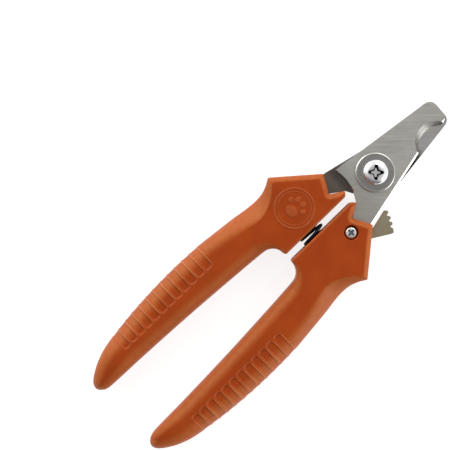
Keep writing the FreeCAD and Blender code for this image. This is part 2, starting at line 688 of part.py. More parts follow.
def lever_hardware():
    """Small pan head screw, spring washer and captive nut of the lever."""
    body = new_body("lever_screw", TURNED_HALF)
    body.setExpression("Placement.Base.x", "Sizes.pivot_x + Sizes.lever_x")
    body.setExpression("Placement.Base.y", "-Sizes.lever_y")
    profile = new_sketch(body, "lever_screw_profile", "XZ_Plane")
    seat = "-Sizes.small_sink_floor"
    crown = "-Sizes.small_sink_floor - Sizes.small_head_tall"
    lathe(profile, body, "lever_screw_turned", (
        ("0", "Sizes.small_under"), ("Sizes.small_shank", "Sizes.small_under"),
        ("Sizes.small_shank", seat), ("Sizes.small_head", seat),
        *(("Sizes.small_head - %g" % inward, seat + " - %g" % up) for inward, up in SMALL_CROWN),
        ("0", crown)))
    cross_recess(body, "lever_recess", crown, ("small_cross", "small_cross_arm", "small_cross_deep"),
                 SMALL_CROSS_TURN, upward=True)
    keep(body)
    washer = new_body("lever_washer", TURNED_HALF)
    flat = new_sketch(washer, "lever_washer_flat", offset="Sizes.lever_top + Sizes.lever_thick")
    ring(flat, "Sizes.lever_washer_outer", "Sizes.lever_x", "Sizes.lever_y")
    ring(flat, "Sizes.lever_hole", "Sizes.lever_x", "Sizes.lever_y")
    feature(washer, "Pad", "lever_washer_disc", flat, Length="=Sizes.lever_washer_thick")
    keep(washer)
    nut = hexagon("lever_nut_blank", "Sizes.small_nut_flats", "Sizes.small_nut_thick", True,
                  "Sizes.half_height - Sizes.small_nut_floor - Sizes.small_nut_thick")
    keep(subtract("lever_nut", nut, [axis_hole("lever_nut_bore", "Sizes.small_shank", True)]))


# ---------------------------------------------------------------- return spring

def return_spring():
    """Compression spring: round wire on a helix about an axis that runs from handle to handle."""
    body = doc.addObject("PartDesign::Body", "return_spring")
    body.Label = "return_spring"
    body.Placement = FreeCAD.Placement(Vector(), FreeCAD.Rotation(Vector(1, 0, 0), -90))
    body.setExpression("Placement.Base.x", "Sizes.pivot_x + Sizes.socket_x")
    body.setExpression("Placement.Base.y", "-Sizes.spring_half")
    body.setExpression("Placement.Base.z", "Sizes.half_height")
    wire = new_sketch(body, "spring_wire_section", "XZ_Plane")
    ring(wire, "Sizes.spring_wire", "Sizes.spring_mean", "0")
    feature(body, "AdditiveHelix", "spring_coils", wire, ReferenceAxis=(wire, ["V_Axis"]), Mode=0,
            Pitch="=Sizes.spring_pitch", Height="=2 * Sizes.spring_half")
    return keep(body)


# ---------------------------------------------------------------- build, check and write

def check_document():
    """Stop if any object failed to compute or any piece is not one valid solid."""
    for item in doc.Objects:
        if "Invalid" in item.State or "Error" in item.State:
            raise RuntimeError("%s: %s" % (item.Label, item.State))
    for piece in pieces:
        shape = piece.Shape
        if shape.isNull() or not shape.isValid() or len(shape.Solids) != 1:
            raise RuntimeError("%s is not one valid solid (%d solids)" % (piece.Label, len(shape.Solids)))


def write_pieces():
    """Write one STEP file per piece, named after its label."""
    os.makedirs("parts", exist_ok=True)
    for piece in pieces:
        box = piece.Shape.BoundBox
        print("%-14s volume %9.1f  x %7.2f..%7.2f  y %7.2f..%7.2f  z %6.2f..%6.2f" % (
            piece.Label, piece.Shape.Volume, box.XMin, box.XMax, box.YMin, box.YMax, box.ZMin, box.ZMax))
        piece.Shape.exportStep(os.path.join("parts", piece.Label + ".step"))


sheet = fill_sheet()
rear = blade("blade_rear", PLAIN_HALF)
front = blade("blade_front", TURNED_HALF)
left_handle(rear)
right_handle(front)
pivot_hardware()
lock_lever()
lever_hardware()
return_spring()
doc.recompute()
check_document()
write_pieces()
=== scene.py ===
"""Looks of a plier-type pet nail trimmer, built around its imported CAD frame.

The two halves of the trimmer are one design: a steel jaw blade moulded into a plastic handle. Each
is modelled once in the "plain" half's own millimetres (jaw pivot at the origin, jaw tip towards +X,
handle on +Y, blade just under the shear plane z = 0), and the right half is the same half turned
over about X. A finished piece is then carried to its place in the tool's frame, in metres.
"""
import json
import logging
import math
from dataclasses import dataclass, field
from enum import Enum
from typing import Callable, Optional, Sequence

import bpy
import numpy as np
from mathutils import Matrix, Vector


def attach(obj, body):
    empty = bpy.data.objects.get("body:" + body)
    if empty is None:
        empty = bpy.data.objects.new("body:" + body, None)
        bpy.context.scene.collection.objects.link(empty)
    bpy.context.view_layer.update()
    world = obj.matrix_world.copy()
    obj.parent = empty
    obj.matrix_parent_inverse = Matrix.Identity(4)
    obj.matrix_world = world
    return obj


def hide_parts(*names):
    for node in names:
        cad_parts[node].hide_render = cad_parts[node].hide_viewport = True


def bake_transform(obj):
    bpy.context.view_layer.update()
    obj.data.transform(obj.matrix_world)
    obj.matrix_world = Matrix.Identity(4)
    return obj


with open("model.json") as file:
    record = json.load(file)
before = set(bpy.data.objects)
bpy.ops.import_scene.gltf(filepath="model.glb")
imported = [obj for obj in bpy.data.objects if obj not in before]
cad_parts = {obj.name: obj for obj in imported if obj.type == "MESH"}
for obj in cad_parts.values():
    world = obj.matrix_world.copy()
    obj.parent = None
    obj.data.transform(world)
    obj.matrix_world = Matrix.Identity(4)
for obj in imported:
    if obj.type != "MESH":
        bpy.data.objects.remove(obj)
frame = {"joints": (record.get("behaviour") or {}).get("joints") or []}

Point = tuple[float, float]
Colour = tuple[float, float, float]

log = logging.getLogger("trimmer")
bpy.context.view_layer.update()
MM = 0.001
STAGE_PREFIX = "stage_"


class Half(Enum):
    """The two halves of the trimmer, named after the bodies they ride on."""

    LEFT = "left_half"
    RIGHT = "right_half"


class Zone(Enum):
    """Parts of a piece's surface that its finish treats apart, by face material index."""

    BODY = 0
    # Faces in EDGE get a painted highlight.
    EDGE = 1
    # Faces in HOLLOW get painted shade.
    HOLLOW = 2


class Axis(Enum):
    """Which way a ground finish runs on a flat piece, as a turn about Z in degrees."""

    ALONG = 0.0
    ACROSS = 90.0
    SLANTED = -44.0


LEVER_BODY = "lever"


def joint_point(name: str) -> Vector:
    """Find the point that a joint turns about.

    Args:
        name: The joint's name in the frame.

    Returns:
        The joint's position in metres.
    """
    return next(Vector(joint["pos_m"]) for joint in frame["joints"] if joint["name"] == name)


PIVOT = joint_point("jaw_pivot")
LEVER_PIVOT = joint_point("lever_pivot")
LEVER_X = (LEVER_PIVOT.x - PIVOT.x) / MM
LEVER_Y = (PIVOT.y - LEVER_PIVOT.y) / MM
HALF_HEIGHT = PIVOT.z / MM


# ------------------------------------------------------------------------------ outlines

def smoothstep(value: np.ndarray) -> np.ndarray:
    """Ease values from 0 to 1, flat at both ends.

    Args:
        value: The values.

    Returns:
        The eased values.
    """
    held = np.clip(value, 0.0, 1.0)
    return held * held * (3.0 - 2.0 * held)


def arc_between(start: Point, end: Point, radius: float, bulge: int, count: int) -> list[Point]:
    """Sample an arc between two points, without the points themselves.

    Args:
        start: Where the arc leaves.
        end: Where it arrives.
        radius: Its radius.
        bulge: 1 for a bulge to the left of the chord, -1 for the right.
        count: Number of points between the ends.

    Returns:
        The points in order.
    """
    chord = Vector(end) - Vector(start)
    left = Vector((-chord.y, chord.x)).normalized() * bulge
    centre = (Vector(start) + Vector(end)) / 2 - left * math.sqrt(radius ** 2 - chord.length_squared / 4)
    first = Vector(start) - centre
    turn = -bulge * 2 * math.asin(chord.length / 2 / radius)
    points = []
    for index in range(1, count + 1):
        angle = turn * index / (count + 1)
        points.append((centre.x + first.x * math.cos(angle) - first.y * math.sin(angle),
                       centre.y + first.x * math.sin(angle) + first.y * math.cos(angle)))
    return points


def smooth_curve(knots: Sequence[Point], steps: int) -> list[Point]:
    """Sample a Catmull-Rom curve through its knots.

    Args:
        knots: Points that the curve passes through.
        steps: Samples per span.

    Returns:
        The samples, the first and last knot included.
    """
    ends = [knots[0], *knots, knots[-1]]
    points = []
    for index in range(len(knots) - 1):
        before, start, end, after = (Vector(knot) for knot in ends[index:index + 4])
        for step in range(steps):
            t = step / steps
            bend = 2 * before - 5 * start + 4 * end - after
            twist = 3 * start - before - 3 * end + after
            point = 0.5 * (2 * start + (end - before) * t + bend * t ** 2 + twist * t ** 3)
            points.append((point.x, point.y))
    return points + [knots[-1]]


def round_corners(corners: Sequence[tuple[float, float, float]], count: int = 6) -> list[Point]:
    """Replace the corners of a closed outline by tangent arcs.

    Args:
        corners: x, y and corner radius of each corner; a radius of 0 keeps it sharp.
        count: Spans in each arc.

    Returns:
        The rounded outline.
    """
    outline = []
    for index, (x, y, radius) in enumerate(corners):
        here = Vector((x, y))
        if radius <= 0:
            outline.append((x, y))
            continue
        before = (Vector(corners[index - 1][:2]) - here).normalized()
        after = (Vector(corners[(index + 1) % len(corners)][:2]) - here).normalized()
        half_angle = math.acos(max(-1.0, min(1.0, before.dot(after)))) / 2
        centre = here + (before + after).normalized() * radius / math.sin(half_angle)
        reach = radius / math.tan(half_angle)
        first = here + before * reach - centre
        last = here + after * reach - centre
        swing = first.angle_signed(last)
        for step in range(count + 1):
            angle = -swing * step / count
            outline.append((centre.x + first.x * math.cos(angle) - first.y * math.sin(angle),
                            centre.y + first.x * math.sin(angle) + first.y * math.cos(angle)))
    return outline


# ------------------------------------------------------------------------------ modelling helpers

def only(piece: bpy.types.Object) -> None:
    """Select one object alone and make it active.

    Args:
        piece: The object.
    """
    bpy.ops.object.select_all(action="DESELECT")
    piece.select_set(True)
    bpy.context.view_layer.objects.active = piece


def new_piece(name: str) -> bpy.types.Object:
    """Name the object that an operator has just added.

    Args:
        name: The piece's name.

    Returns:
        The active object, renamed.
    """
    piece = bpy.context.active_object
    piece.name = name
    piece.data.name = name
    for _ in Zone:
        piece.data.materials.append(None)
    return piece


def apply_modifier(piece: bpy.types.Object, kind: str, **settings: object) -> None:
    """Add a modifier with its settings and apply it at once.

    Args:
        piece: The object it works on.
        kind: The modifier's type.
        **settings: Values for the modifier's own properties.
    """
    only(piece)
    modifier = piece.modifiers.new(kind.lower(), kind)
    for name, value in settings.items():
        setattr(modifier, name, value)
    bpy.ops.object.modifier_apply(modifier=modifier.name)


def face_outward(piece: bpy.types.Object, merge: float = 1e-4) -> None:
    """Merge doubled vertices and turn every face outward.

    Args:
        piece: The object.
        merge: Vertices closer than this become one.
    """
    only(piece)
    bpy.ops.object.mode_set(mode="EDIT")
    bpy.ops.mesh.select_all(action="SELECT")
    bpy.ops.mesh.remove_doubles(threshold=merge)
    bpy.ops.mesh.normals_make_consistent(inside=False)
    bpy.ops.object.mode_set(mode="OBJECT")


def prism(name: str, outline: Sequence[Point], low: float, high: float) -> bpy.types.Object:
    """Extrude a closed outline between two heights.

    Args:
        name: The piece's name.
        outline: Its corners in order.
        low: Height of the bottom face.
        high: Height of the top face.

    Returns:
        The closed prism.
    """
    bpy.ops.object.select_all(action="DESELECT")
    bpy.ops.mesh.primitive_circle_add(vertices=len(outline), radius=1.0, fill_type="NGON")
    piece = new_piece(name)
    for vertex, (x, y) in zip(piece.data.vertices, outline):
        vertex.co = (x, y, low)
    bpy.ops.object.mode_set(mode="EDIT")
    bpy.ops.mesh.select_all(action="SELECT")
    bpy.ops.mesh.extrude_region_move(TRANSFORM_OT_translate={"value": (0.0, 0.0, high - low)})
    bpy.ops.object.mode_set(mode="OBJECT")
    face_outward(piece)
    return piece


def turned(name: str, profile: Sequence[Point], sides: int = 96) -> bpy.types.Object:
    """Build a round piece ring by ring, closed by a flat cap at each end.

    Args:
        name: The piece's name.
        profile: Radius and height of each ring, from the bottom up.
        sides: Number of sides.

    Returns:
        The closed round piece about Z.
    """
    bpy.ops.object.select_all(action="DESELECT")
    radius, height = profile[0]
    bpy.ops.mesh.primitive_circle_add(vertices=sides, radius=radius, fill_type="NGON",
                                      location=(0.0, 0.0, height))
    piece = new_piece(name)
    bpy.ops.object.transform_apply(location=True, rotation=False, scale=False)
    bpy.ops.object.mode_set(mode="EDIT")
    bpy.ops.mesh.select_all(action="SELECT")
    for (old_radius, old_height), (radius, height) in zip(profile, profile[1:]):
        bpy.ops.mesh.extrude_region_move(TRANSFORM_OT_translate={"value": (0.0, 0.0, height - old_height)})
        grow = radius / old_radius
        bpy.ops.transform.resize(value=(grow, grow, 1.0), center_override=(0.0, 0.0, height))
    bpy.ops.object.mode_set(mode="OBJECT")
    face_outward(piece)
    return piece


def turned_ring(name: str, profile: Sequence[Point], sides: int = 96) -> bpy.types.Object:
    """Build a round piece with a hole: a closed profile carried round Z.

    Args:
        name: The piece's name.
        profile: Radius and height of each corner of the section, in order.
        sides: Number of sides.

    Returns:
        The closed ring.
    """
    bpy.ops.object.select_all(action="DESELECT")
    radius, height = profile[0]
    bpy.ops.mesh.primitive_circle_add(vertices=sides, radius=radius, fill_type="NOTHING",
                                      location=(0.0, 0.0, height))
    piece = new_piece(name)
    bpy.ops.object.transform_apply(location=True, rotation=False, scale=False)
    bpy.ops.object.mode_set(mode="EDIT")
    bpy.ops.mesh.select_all(action="SELECT")
    corners = [*profile, profile[0]]
    for (old_radius, old_height), (radius, height) in zip(corners, corners[1:]):
        bpy.ops.mesh.extrude_region_move(TRANSFORM_OT_translate={"value": (0.0, 0.0, height - old_height)})
        grow = radius / old_radius
        bpy.ops.transform.resize(value=(grow, grow, 1.0), center_override=(0.0, 0.0, height))
    bpy.ops.object.mode_set(mode="OBJECT")
    face_outward(piece)
    return piece


def carve(piece: bpy.types.Object, *cutters: bpy.types.Object) -> None:
    """Subtract cutters that don't touch each other, then delete them.

    Args:
        piece: The object that is cut.
        *cutters: The objects that are taken away from it.
    """
    bpy.ops.object.select_all(action="DESELECT")
    for cutter in cutters:
        cutter.select_set(True)
    bpy.context.view_layer.objects.active = cutters[0]
    if len(cutters) > 1:
        bpy.ops.object.join()
    apply_modifier(piece, "BOOLEAN", operation="DIFFERENCE", solver="EXACT", object=cutters[0])
    bpy.data.objects.remove(cutters[0])


def select_where(piece: bpy.types.Object, kind: str, test: Callable[[Vector], bool]) -> int:
    """Select faces or edges of a piece by where their middles lie. Leaves edit mode on.

    Args:
        piece: The object.
        kind: "FACE" or "EDGE".
        test: Says from a middle point whether the element is taken.

    Returns:
        How many were selected.
    """
    only(piece)
    bpy.ops.object.mode_set(mode="EDIT")
    bpy.ops.mesh.select_mode(type=kind)
    bpy.ops.mesh.select_all(action="DESELECT")
    bpy.ops.object.mode_set(mode="OBJECT")
    mesh = piece.data
    taken = 0
    for element in (mesh.polygons if kind == "FACE" else mesh.edges):
        corners = [mesh.vertices[number].co for number in element.vertices]
        middle = sum(corners, Vector()) / len(corners)
        element.select = bool(test(middle))
        taken += element.select
    bpy.ops.object.mode_set(mode="EDIT")
    return taken


def break_edges(piece: bpy.types.Object, width: float, angle: float = 35.0, segments: int = 2) -> None:
    """Round the sharp edges of a piece a little. The new faces go in the edge zone, where the finish paints a
    highlight.

    Args:
        piece: The object.
        width: Width of the rounding.
        angle: Edges sharper than this, in degrees, are rounded.
        segments: Faces across the rounding.
    """
    apply_modifier(piece, "BEVEL", width=width, segments=segments, limit_method="ANGLE",
                   angle_limit=math.radians(angle), use_clamp_overlap=True, material=Zone.EDGE.value)


def mark_faces(piece: bpy.types.Object, zone: Zone, test: Callable[[Vector], bool]) -> None:
    """Put faces into a zone of the finish.

    Args:
        piece: The object.
        zone: The zone.
        test: Says from a face's middle whether the face is taken.
    """
    for face in piece.data.polygons:
        if test(face.center):
            face.material_index = zone.value


def write_zones(piece: bpy.types.Object) -> None:
    """Turn the zones that faces were put in into attributes that the finishes read.

    Args:
        piece: The object, whose material indices hold the zones until now.
    """
    mesh = piece.data
    numbers = np.zeros(len(mesh.polygons), dtype=np.int32)
    mesh.polygons.foreach_get("material_index", numbers)
    for zone in (Zone.EDGE, Zone.HOLLOW):
        layer = mesh.attributes.new(zone.name.lower(), "FLOAT", "FACE")
        layer.data.foreach_set("value", (numbers == zone.value).astype(np.float32))
    mesh.polygons.foreach_set("material_index", np.zeros_like(numbers))


def to_frame(half: Half) -> Matrix:
    """Work out how a piece is carried to its place.

    Args:
        half: The half that the piece was modelled for.

    Returns:
        The matrix from the plain half's millimetres to the tool's frame in metres.
    """
    turn = Matrix.Rotation(math.pi, 4, "X") if half is Half.RIGHT else Matrix.Identity(4)
    return Matrix.Translation(PIVOT) @ turn @ Matrix.Scale(MM, 4)


def finish_piece(piece: bpy.types.Object, half: Half, body: str, node: str,
                 material: bpy.types.Material, smooth: float = 22.0) -> None:
    """Carry a piece to its place, dress it and hang it on its body.

    Args:
        piece: The modelled piece, in the plain half's millimetres.
        half: The half whose frame it was modelled in.
        body: The body it rides on.
        node: The CAD node it stands for.
        material: Its finish.
        smooth: Edges flatter than this, in degrees, are shaded smooth.
    """
    piece.data.transform(to_frame(half))
    write_zones(piece)
    piece.data.materials.clear()
    piece.data.materials.append(material)
    only(piece)
    bpy.ops.object.shade_smooth_by_angle(angle=math.radians(smooth))
    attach(piece, body)
    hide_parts(node)
    log.info("%s: %d faces, rides on %s", piece.name, len(piece.data.polygons), body)


# ------------------------------------------------------------------------------ material helpers

class Sheet:
    """A node tree with short ways to add and join its nodes."""

    def __init__(self, tree: bpy.types.NodeTree) -> None:
        """Take over a tree and empty it.

        Args:
            tree: The node tree.
        """
        self.tree = tree
        tree.nodes.clear()

    def add(self, kind: str, inputs: Optional[dict] = None, **settings: object) -> bpy.types.Node:
        """Add a node.

        Args:
            kind: The node's type.
            inputs: Values or output sockets for its inputs, by name or number.
            **settings: Values for the node's own properties.

        Returns:
            The node.
        """
        node = self.tree.nodes.new(kind)
        for name, value in settings.items():
            setattr(node, name, value)
        for key, value in (inputs or {}).items():
            if isinstance(value, bpy.types.NodeSocket):
                self.tree.links.new(value, node.inputs[key])
            else:
                node.inputs[key].default_value = value
        return node

    def ramp(self, value: bpy.types.NodeSocket, low: float, high: float,
             to_low: float = 0.0, to_high: float = 1.0) -> bpy.types.NodeSocket:
        """Map a range of a value to another range, held at both ends.

        Args:
            value: The value.
            low: Where the range starts.
            high: Where it ends.
            to_low: What its start becomes.
            to_high: What its end becomes.

        Returns:
            The mapped value.
        """
        node = self.add("ShaderNodeMapRange", {"Value": value, "From Min": low, "From Max": high,
                                               "To Min": to_low, "To Max": to_high}, clamp=True)
        return node.outputs["Result"]

    def mix(self, amount: object, first: object, second: object) -> bpy.types.NodeSocket:
        """Mix two colours.

        Args:
            amount: 0 for the first colour, 1 for the second; a number or a socket.
            first: The first colour, as four numbers or a socket.
            second: The second colour, likewise.

        Returns:
            The mixed colour.
        """
        node = self.add("ShaderNodeMix", data_type="RGBA")
        for key, value in ((0, amount), (6, first), (7, second)):
            if isinstance(value, bpy.types.NodeSocket):
                self.tree.links.new(value, node.inputs[key])
            else:
                node.inputs[key].default_value = value
        return node.outputs[2]

    def attribute(self, name: str) -> bpy.types.NodeSocket:
        """Read one of the piece's own attributes.

        Args:
            name: The attribute's name.

        Returns:
            Its value.
        """
        return self.add("ShaderNodeAttribute", attribute_name=name).outputs["Fac"]

    def maths(self, operation: str, first: object, second: object) -> bpy.types.NodeSocket:
        """Combine two values.

        Args:
            operation: The name of the sum, as Blender spells it.
            first: The first value, a number or a socket.
            second: The second value, likewise.

        Returns:
            The combined value.
        """
        node = self.add("ShaderNodeMath", {0: first, 1: second}, operation=operation)
        return node.outputs[0]


def rgba(colour: Colour) -> tuple[float, float, float, float]:
    """Add a full alpha to a colour.

    Args:
        colour: Red, green and blue.

    Returns:
        The colour with its alpha.
    """
    return (*colour, 1.0)


def make_group(name: str, inputs: Sequence[tuple[str, str, object]],
               outputs: Sequence[tuple[str, str]]) -> tuple[Sheet, bpy.types.Node, bpy.types.Node]:
    """Start a shader node group.

    Args:
        name: The group's name.
        inputs: Name, socket type and start value of each input.
        outputs: Name and socket type of each output.

    Returns:
        Its sheet, its input node and its output node.
    """
    group = bpy.data.node_groups.new(name, "ShaderNodeTree")
    for label, kind, value in inputs:
        socket = group.interface.new_socket(name=label, in_out="INPUT", socket_type=kind)
        socket.default_value = value
    for label, kind in outputs:
        group.interface.new_socket(name=label, in_out="OUTPUT", socket_type=kind)
    sheet = Sheet(group)
    return sheet, sheet.add("NodeGroupInput"), sheet.add("NodeGroupOutput")


def edge_highlight_group() -> bpy.types.NodeTree:
    """Group that takes an edge mask for a painted highlight and breaks it up with a little noise.

    Returns:
        A group with inputs Edge and Scale and an output Mask.
    """
    sheet, given, out = make_group(
        "edge_highlight", [("Edge", "NodeSocketFloat", 0.0), ("Scale", "NodeSocketFloat", 900.0)],
        [("Mask", "NodeSocketFloat")])
    place = sheet.add("ShaderNodeTexCoord").outputs["Object"]
    noise = sheet.add("ShaderNodeTexNoise", {"Vector": place, "Scale": given.outputs["Scale"], "Detail": 3.0})
    broken = sheet.ramp(noise.outputs["Fac"], 0.3, 0.7, 0.6, 1.0)
    sheet.tree.links.new(sheet.maths("MULTIPLY", given.outputs["Edge"], broken), out.inputs["Mask"])
    return sheet.tree


def grain_group() -> bpy.types.NodeTree:
    """Group for a stretched grain: brush marks on metal, or an even texture when not stretched.

    Returns:
        A group with inputs Turn, Stretch, Fine and Coarse and outputs Lines and Cloud.
    """
    sheet, given, out = make_group(
        "surface_grain", [("Turn", "NodeSocketVector", (0.0, 0.0, 0.0)),
                          ("Stretch", "NodeSocketVector", (1.0, 1.0, 1.0)),
                          ("Fine", "NodeSocketFloat", 2500.0), ("Coarse", "NodeSocketFloat", 120.0)],
        [("Lines", "NodeSocketFloat"), ("Cloud", "NodeSocketFloat")])
    place = sheet.add("ShaderNodeTexCoord").outputs["Object"]
    facing = sheet.add("ShaderNodeMapping", {"Vector": place, "Rotation": given.outputs["Turn"]})
    drawn = sheet.add("ShaderNodeMapping", {"Vector": facing.outputs[0], "Scale": given.outputs["Stretch"]})
    lines = sheet.add("ShaderNodeTexNoise", {"Vector": drawn.outputs[0], "Scale": given.outputs["Fine"],
                                             "Detail": 4.0, "Roughness": 0.6})
    cloud = sheet.add("ShaderNodeTexNoise", {"Vector": place, "Scale": given.outputs["Coarse"],
                                             "Detail": 3.0, "Roughness": 0.55})
    sheet.tree.links.new(lines.outputs["Fac"], out.inputs["Lines"])
    sheet.tree.links.new(cloud.outputs["Fac"], out.inputs["Cloud"])
    return sheet.tree


@dataclass(frozen=True)
class Groups:
    """The node groups that the finishes share."""

    edge_highlight: bpy.types.NodeTree
    grain: bpy.types.NodeTree


def new_material(name: str) -> tuple[bpy.types.Material, Sheet]:
    """Start a material.

    Args:
        name: Its name.

    Returns:
        The material and its empty sheet.
    """
    material = bpy.data.materials.new(name)
    material.use_nodes = True
    return material, Sheet(material.node_tree)


@dataclass(frozen=True)
class MouldedPlastic:
    """Satin moulded plastic: clouded colour, painted highlights on its rounded edges and crests, and a fine
    spark texture.
    """

    name: str
    colour: Colour
    shade: Colour
    # edge and crest are painted highlight colours: on the rounded rims, and on the crests of the flutes and
    # the emblem.
    edge: Colour
    crest: Colour
    roughness: float = 0.44
    gloss: float = 0.3
    sheen_tint: Colour = (1.0, 0.70, 0.46)
    edge_highlight_amount: float = 0.5

    def build(self, groups: Groups) -> bpy.types.Material:
        """Make the material.

        Args:
            groups: The shared node groups.

        Returns:
            The finished material.
        """
        material, sheet = new_material(self.name)
        grain = sheet.add("ShaderNodeGroup", {"Fine": 2600.0, "Coarse": 90.0}, node_tree=groups.grain)
        highlight_mask = sheet.add("ShaderNodeGroup", {"Edge": sheet.attribute("rim"), "Scale": 500.0},
                         node_tree=groups.edge_highlight)
        clouds = sheet.ramp(grain.outputs["Cloud"], 0.35, 0.65)
        body = sheet.mix(clouds, rgba(self.shade), rgba(self.colour))
        # Painted highlight on the rounded rims.
        edge_highlight_share = sheet.maths("MULTIPLY", highlight_mask.outputs["Mask"], self.edge_highlight_amount)
        pale = sheet.mix(edge_highlight_share, body, rgba(self.edge))
        # Painted highlight on the crests of the flutes and the emblem.
        crest_highlight = sheet.add("ShaderNodeGroup", {"Edge": sheet.attribute("crest"), "Scale": 1200.0},
                           node_tree=groups.edge_highlight)
        colour = sheet.mix(crest_highlight.outputs["Mask"], pale, rgba(self.crest))
        rough = sheet.ramp(grain.outputs["Lines"], 0.3, 0.7, self.roughness - 0.05, self.roughness + 0.06)
        bump = sheet.add("ShaderNodeBump", {"Strength": 0.22, "Distance": 0.00004,
                                            "Height": grain.outputs["Lines"]})
        shader = sheet.add("ShaderNodeBsdfPrincipled", {
            "Base Color": colour, "Roughness": rough, "Normal": bump.outputs["Normal"]})
        shader.inputs["IOR"].default_value = 1.49
        shader.inputs["Specular IOR Level"].default_value = self.gloss
        shader.inputs["Specular Tint"].default_value = rgba(self.sheen_tint)
        sheet.add("ShaderNodeOutputMaterial", {"Surface": shader.outputs[0]})
        return material


@dataclass(frozen=True)
class GroundSteel:
    """Ground or plated sheet steel: brush lines in one direction, clouded tone, a painted highlight on its
    edges and painted shade in its hollows.
    """

    name: str
    colour: Colour
    shade: Colour
    # Colour of the painted highlight on the broken edges.
    edge: Colour
    roughness: float = 0.34
    lay: Axis = Axis.SLANTED
    line_strength: float = 0.25
    metallic: float = 1.0
    edge_highlight_amount: float = 0.6
    # Colour of the painted shade on the hollow faces.
    hollow: Colour = (0.30, 0.29, 0.27)
    fine: float = 4200.0
    # The next four fields paint shade on the tang and the other blade's shadow on the inner face.
    tang_shade_colour: Optional[Colour] = None
    tang_shade_amount: float = 1.0
    blade_shadow: float = 0.0
    blade_shadow_colour: Colour = (0.045, 0.042, 0.036)

    def paint_blade_shade(self, sheet: Sheet, body: bpy.types.NodeSocket) -> bpy.types.NodeSocket:
        """Paint shade on a blade's tang behind the pivot, next to the handle, and paint the other blade's
        shadow on the face that rubs it.

        Args:
            sheet: The material's sheet.
            body: The colour of the ground steel.

        Returns:
            The colour with the painted shade and the painted shadow in it.
        """
        place = sheet.add("ShaderNodeTexCoord").outputs["Object"]
        apart = sheet.add("ShaderNodeSeparateXYZ", {"Vector": place})
        along, level = apart.outputs["X"], apart.outputs["Z"]
        # Painted shade: darker on the tang behind the pivot, towards the handle.
        tang_shade = sheet.ramp(along, PIVOT.x - 0.0045, PIVOT.x - 0.0095, 0.0, self.tang_shade_amount)
        body = sheet.mix(tang_shade, body, rgba(self.tang_shade_colour))
        # Painted shadow of the front blade on the rear blade's inner face, from the shoulder past the pivot
        # towards the jaw tip.
        inside = sheet.ramp(level, PIVOT.z - 0.0005, PIVOT.z - 0.0002, 0.0, self.blade_shadow)
        front_end = sheet.ramp(along, PIVOT.x + 0.0188, PIVOT.x + 0.0158)
        rear_end = sheet.ramp(along, PIVOT.x - 0.0136, PIVOT.x - 0.0118, 0.0, 0.5)
        middle_shadow = sheet.ramp(along, PIVOT.x - 0.006, PIVOT.x + 0.004, 0.0, 0.5)
        shadow_band = sheet.maths("MULTIPLY", front_end, sheet.maths("ADD", rear_end, middle_shadow))
        return sheet.mix(sheet.maths("MULTIPLY", shadow_band, inside), body, rgba(self.blade_shadow_colour))

    def build(self, groups: Groups) -> bpy.types.Material:
        """Make the material.

        Args:
            groups: The shared node groups.

        Returns:
            The finished material.
        """
        material, sheet = new_material(self.name)
        grain = sheet.add("ShaderNodeGroup", {
            "Turn": (0.0, 0.0, math.radians(-self.lay.value)), "Stretch": (0.035, 1.0, 1.0),
            "Fine": self.fine, "Coarse": 160.0}, node_tree=groups.grain)
        highlight_mask = sheet.add("ShaderNodeGroup", {"Edge": sheet.attribute("edge"), "Scale": 1500.0},
                         node_tree=groups.edge_highlight)
        lines = sheet.ramp(grain.outputs["Lines"], 0.3, 0.7)
        clouds = sheet.ramp(grain.outputs["Cloud"], 0.3, 0.7)
        tone = sheet.maths("ADD", sheet.maths("MULTIPLY", lines, 0.45), sheet.maths("MULTIPLY", clouds, 0.55))
        body = sheet.mix(tone, rgba(self.shade), rgba(self.colour))
        # Painted shade on the tang and painted shadow of the other blade, where set.
        if self.tang_shade_colour:
            body = self.paint_blade_shade(sheet, body)
        # Painted shade on the hollow faces.
        body = sheet.mix(sheet.attribute("hollow"), body, rgba(self.hollow))
        # Painted highlight on the broken edges.
        edge_highlight_share = sheet.maths("MULTIPLY", highlight_mask.outputs["Mask"], self.edge_highlight_amount)
        colour = sheet.mix(edge_highlight_share, body, rgba(self.edge))
        rough = sheet.ramp(grain.outputs["Lines"], 0.25, 0.75, self.roughness - 0.07, self.roughness + 0.09)
        bump = sheet.add("ShaderNodeBump", {"Strength": self.line_strength, "Distance": 0.00002,
                                            "Height": grain.outputs["Lines"]})
        shader = sheet.add("ShaderNodeBsdfPrincipled", {
            "Base Color": colour, "Roughness": rough, "Normal": bump.outputs["Normal"]})
        shader.inputs["Metallic"].default_value = self.metallic
        sheet.add("ShaderNodeOutputMaterial", {"Surface": shader.outputs[0]})
        return material


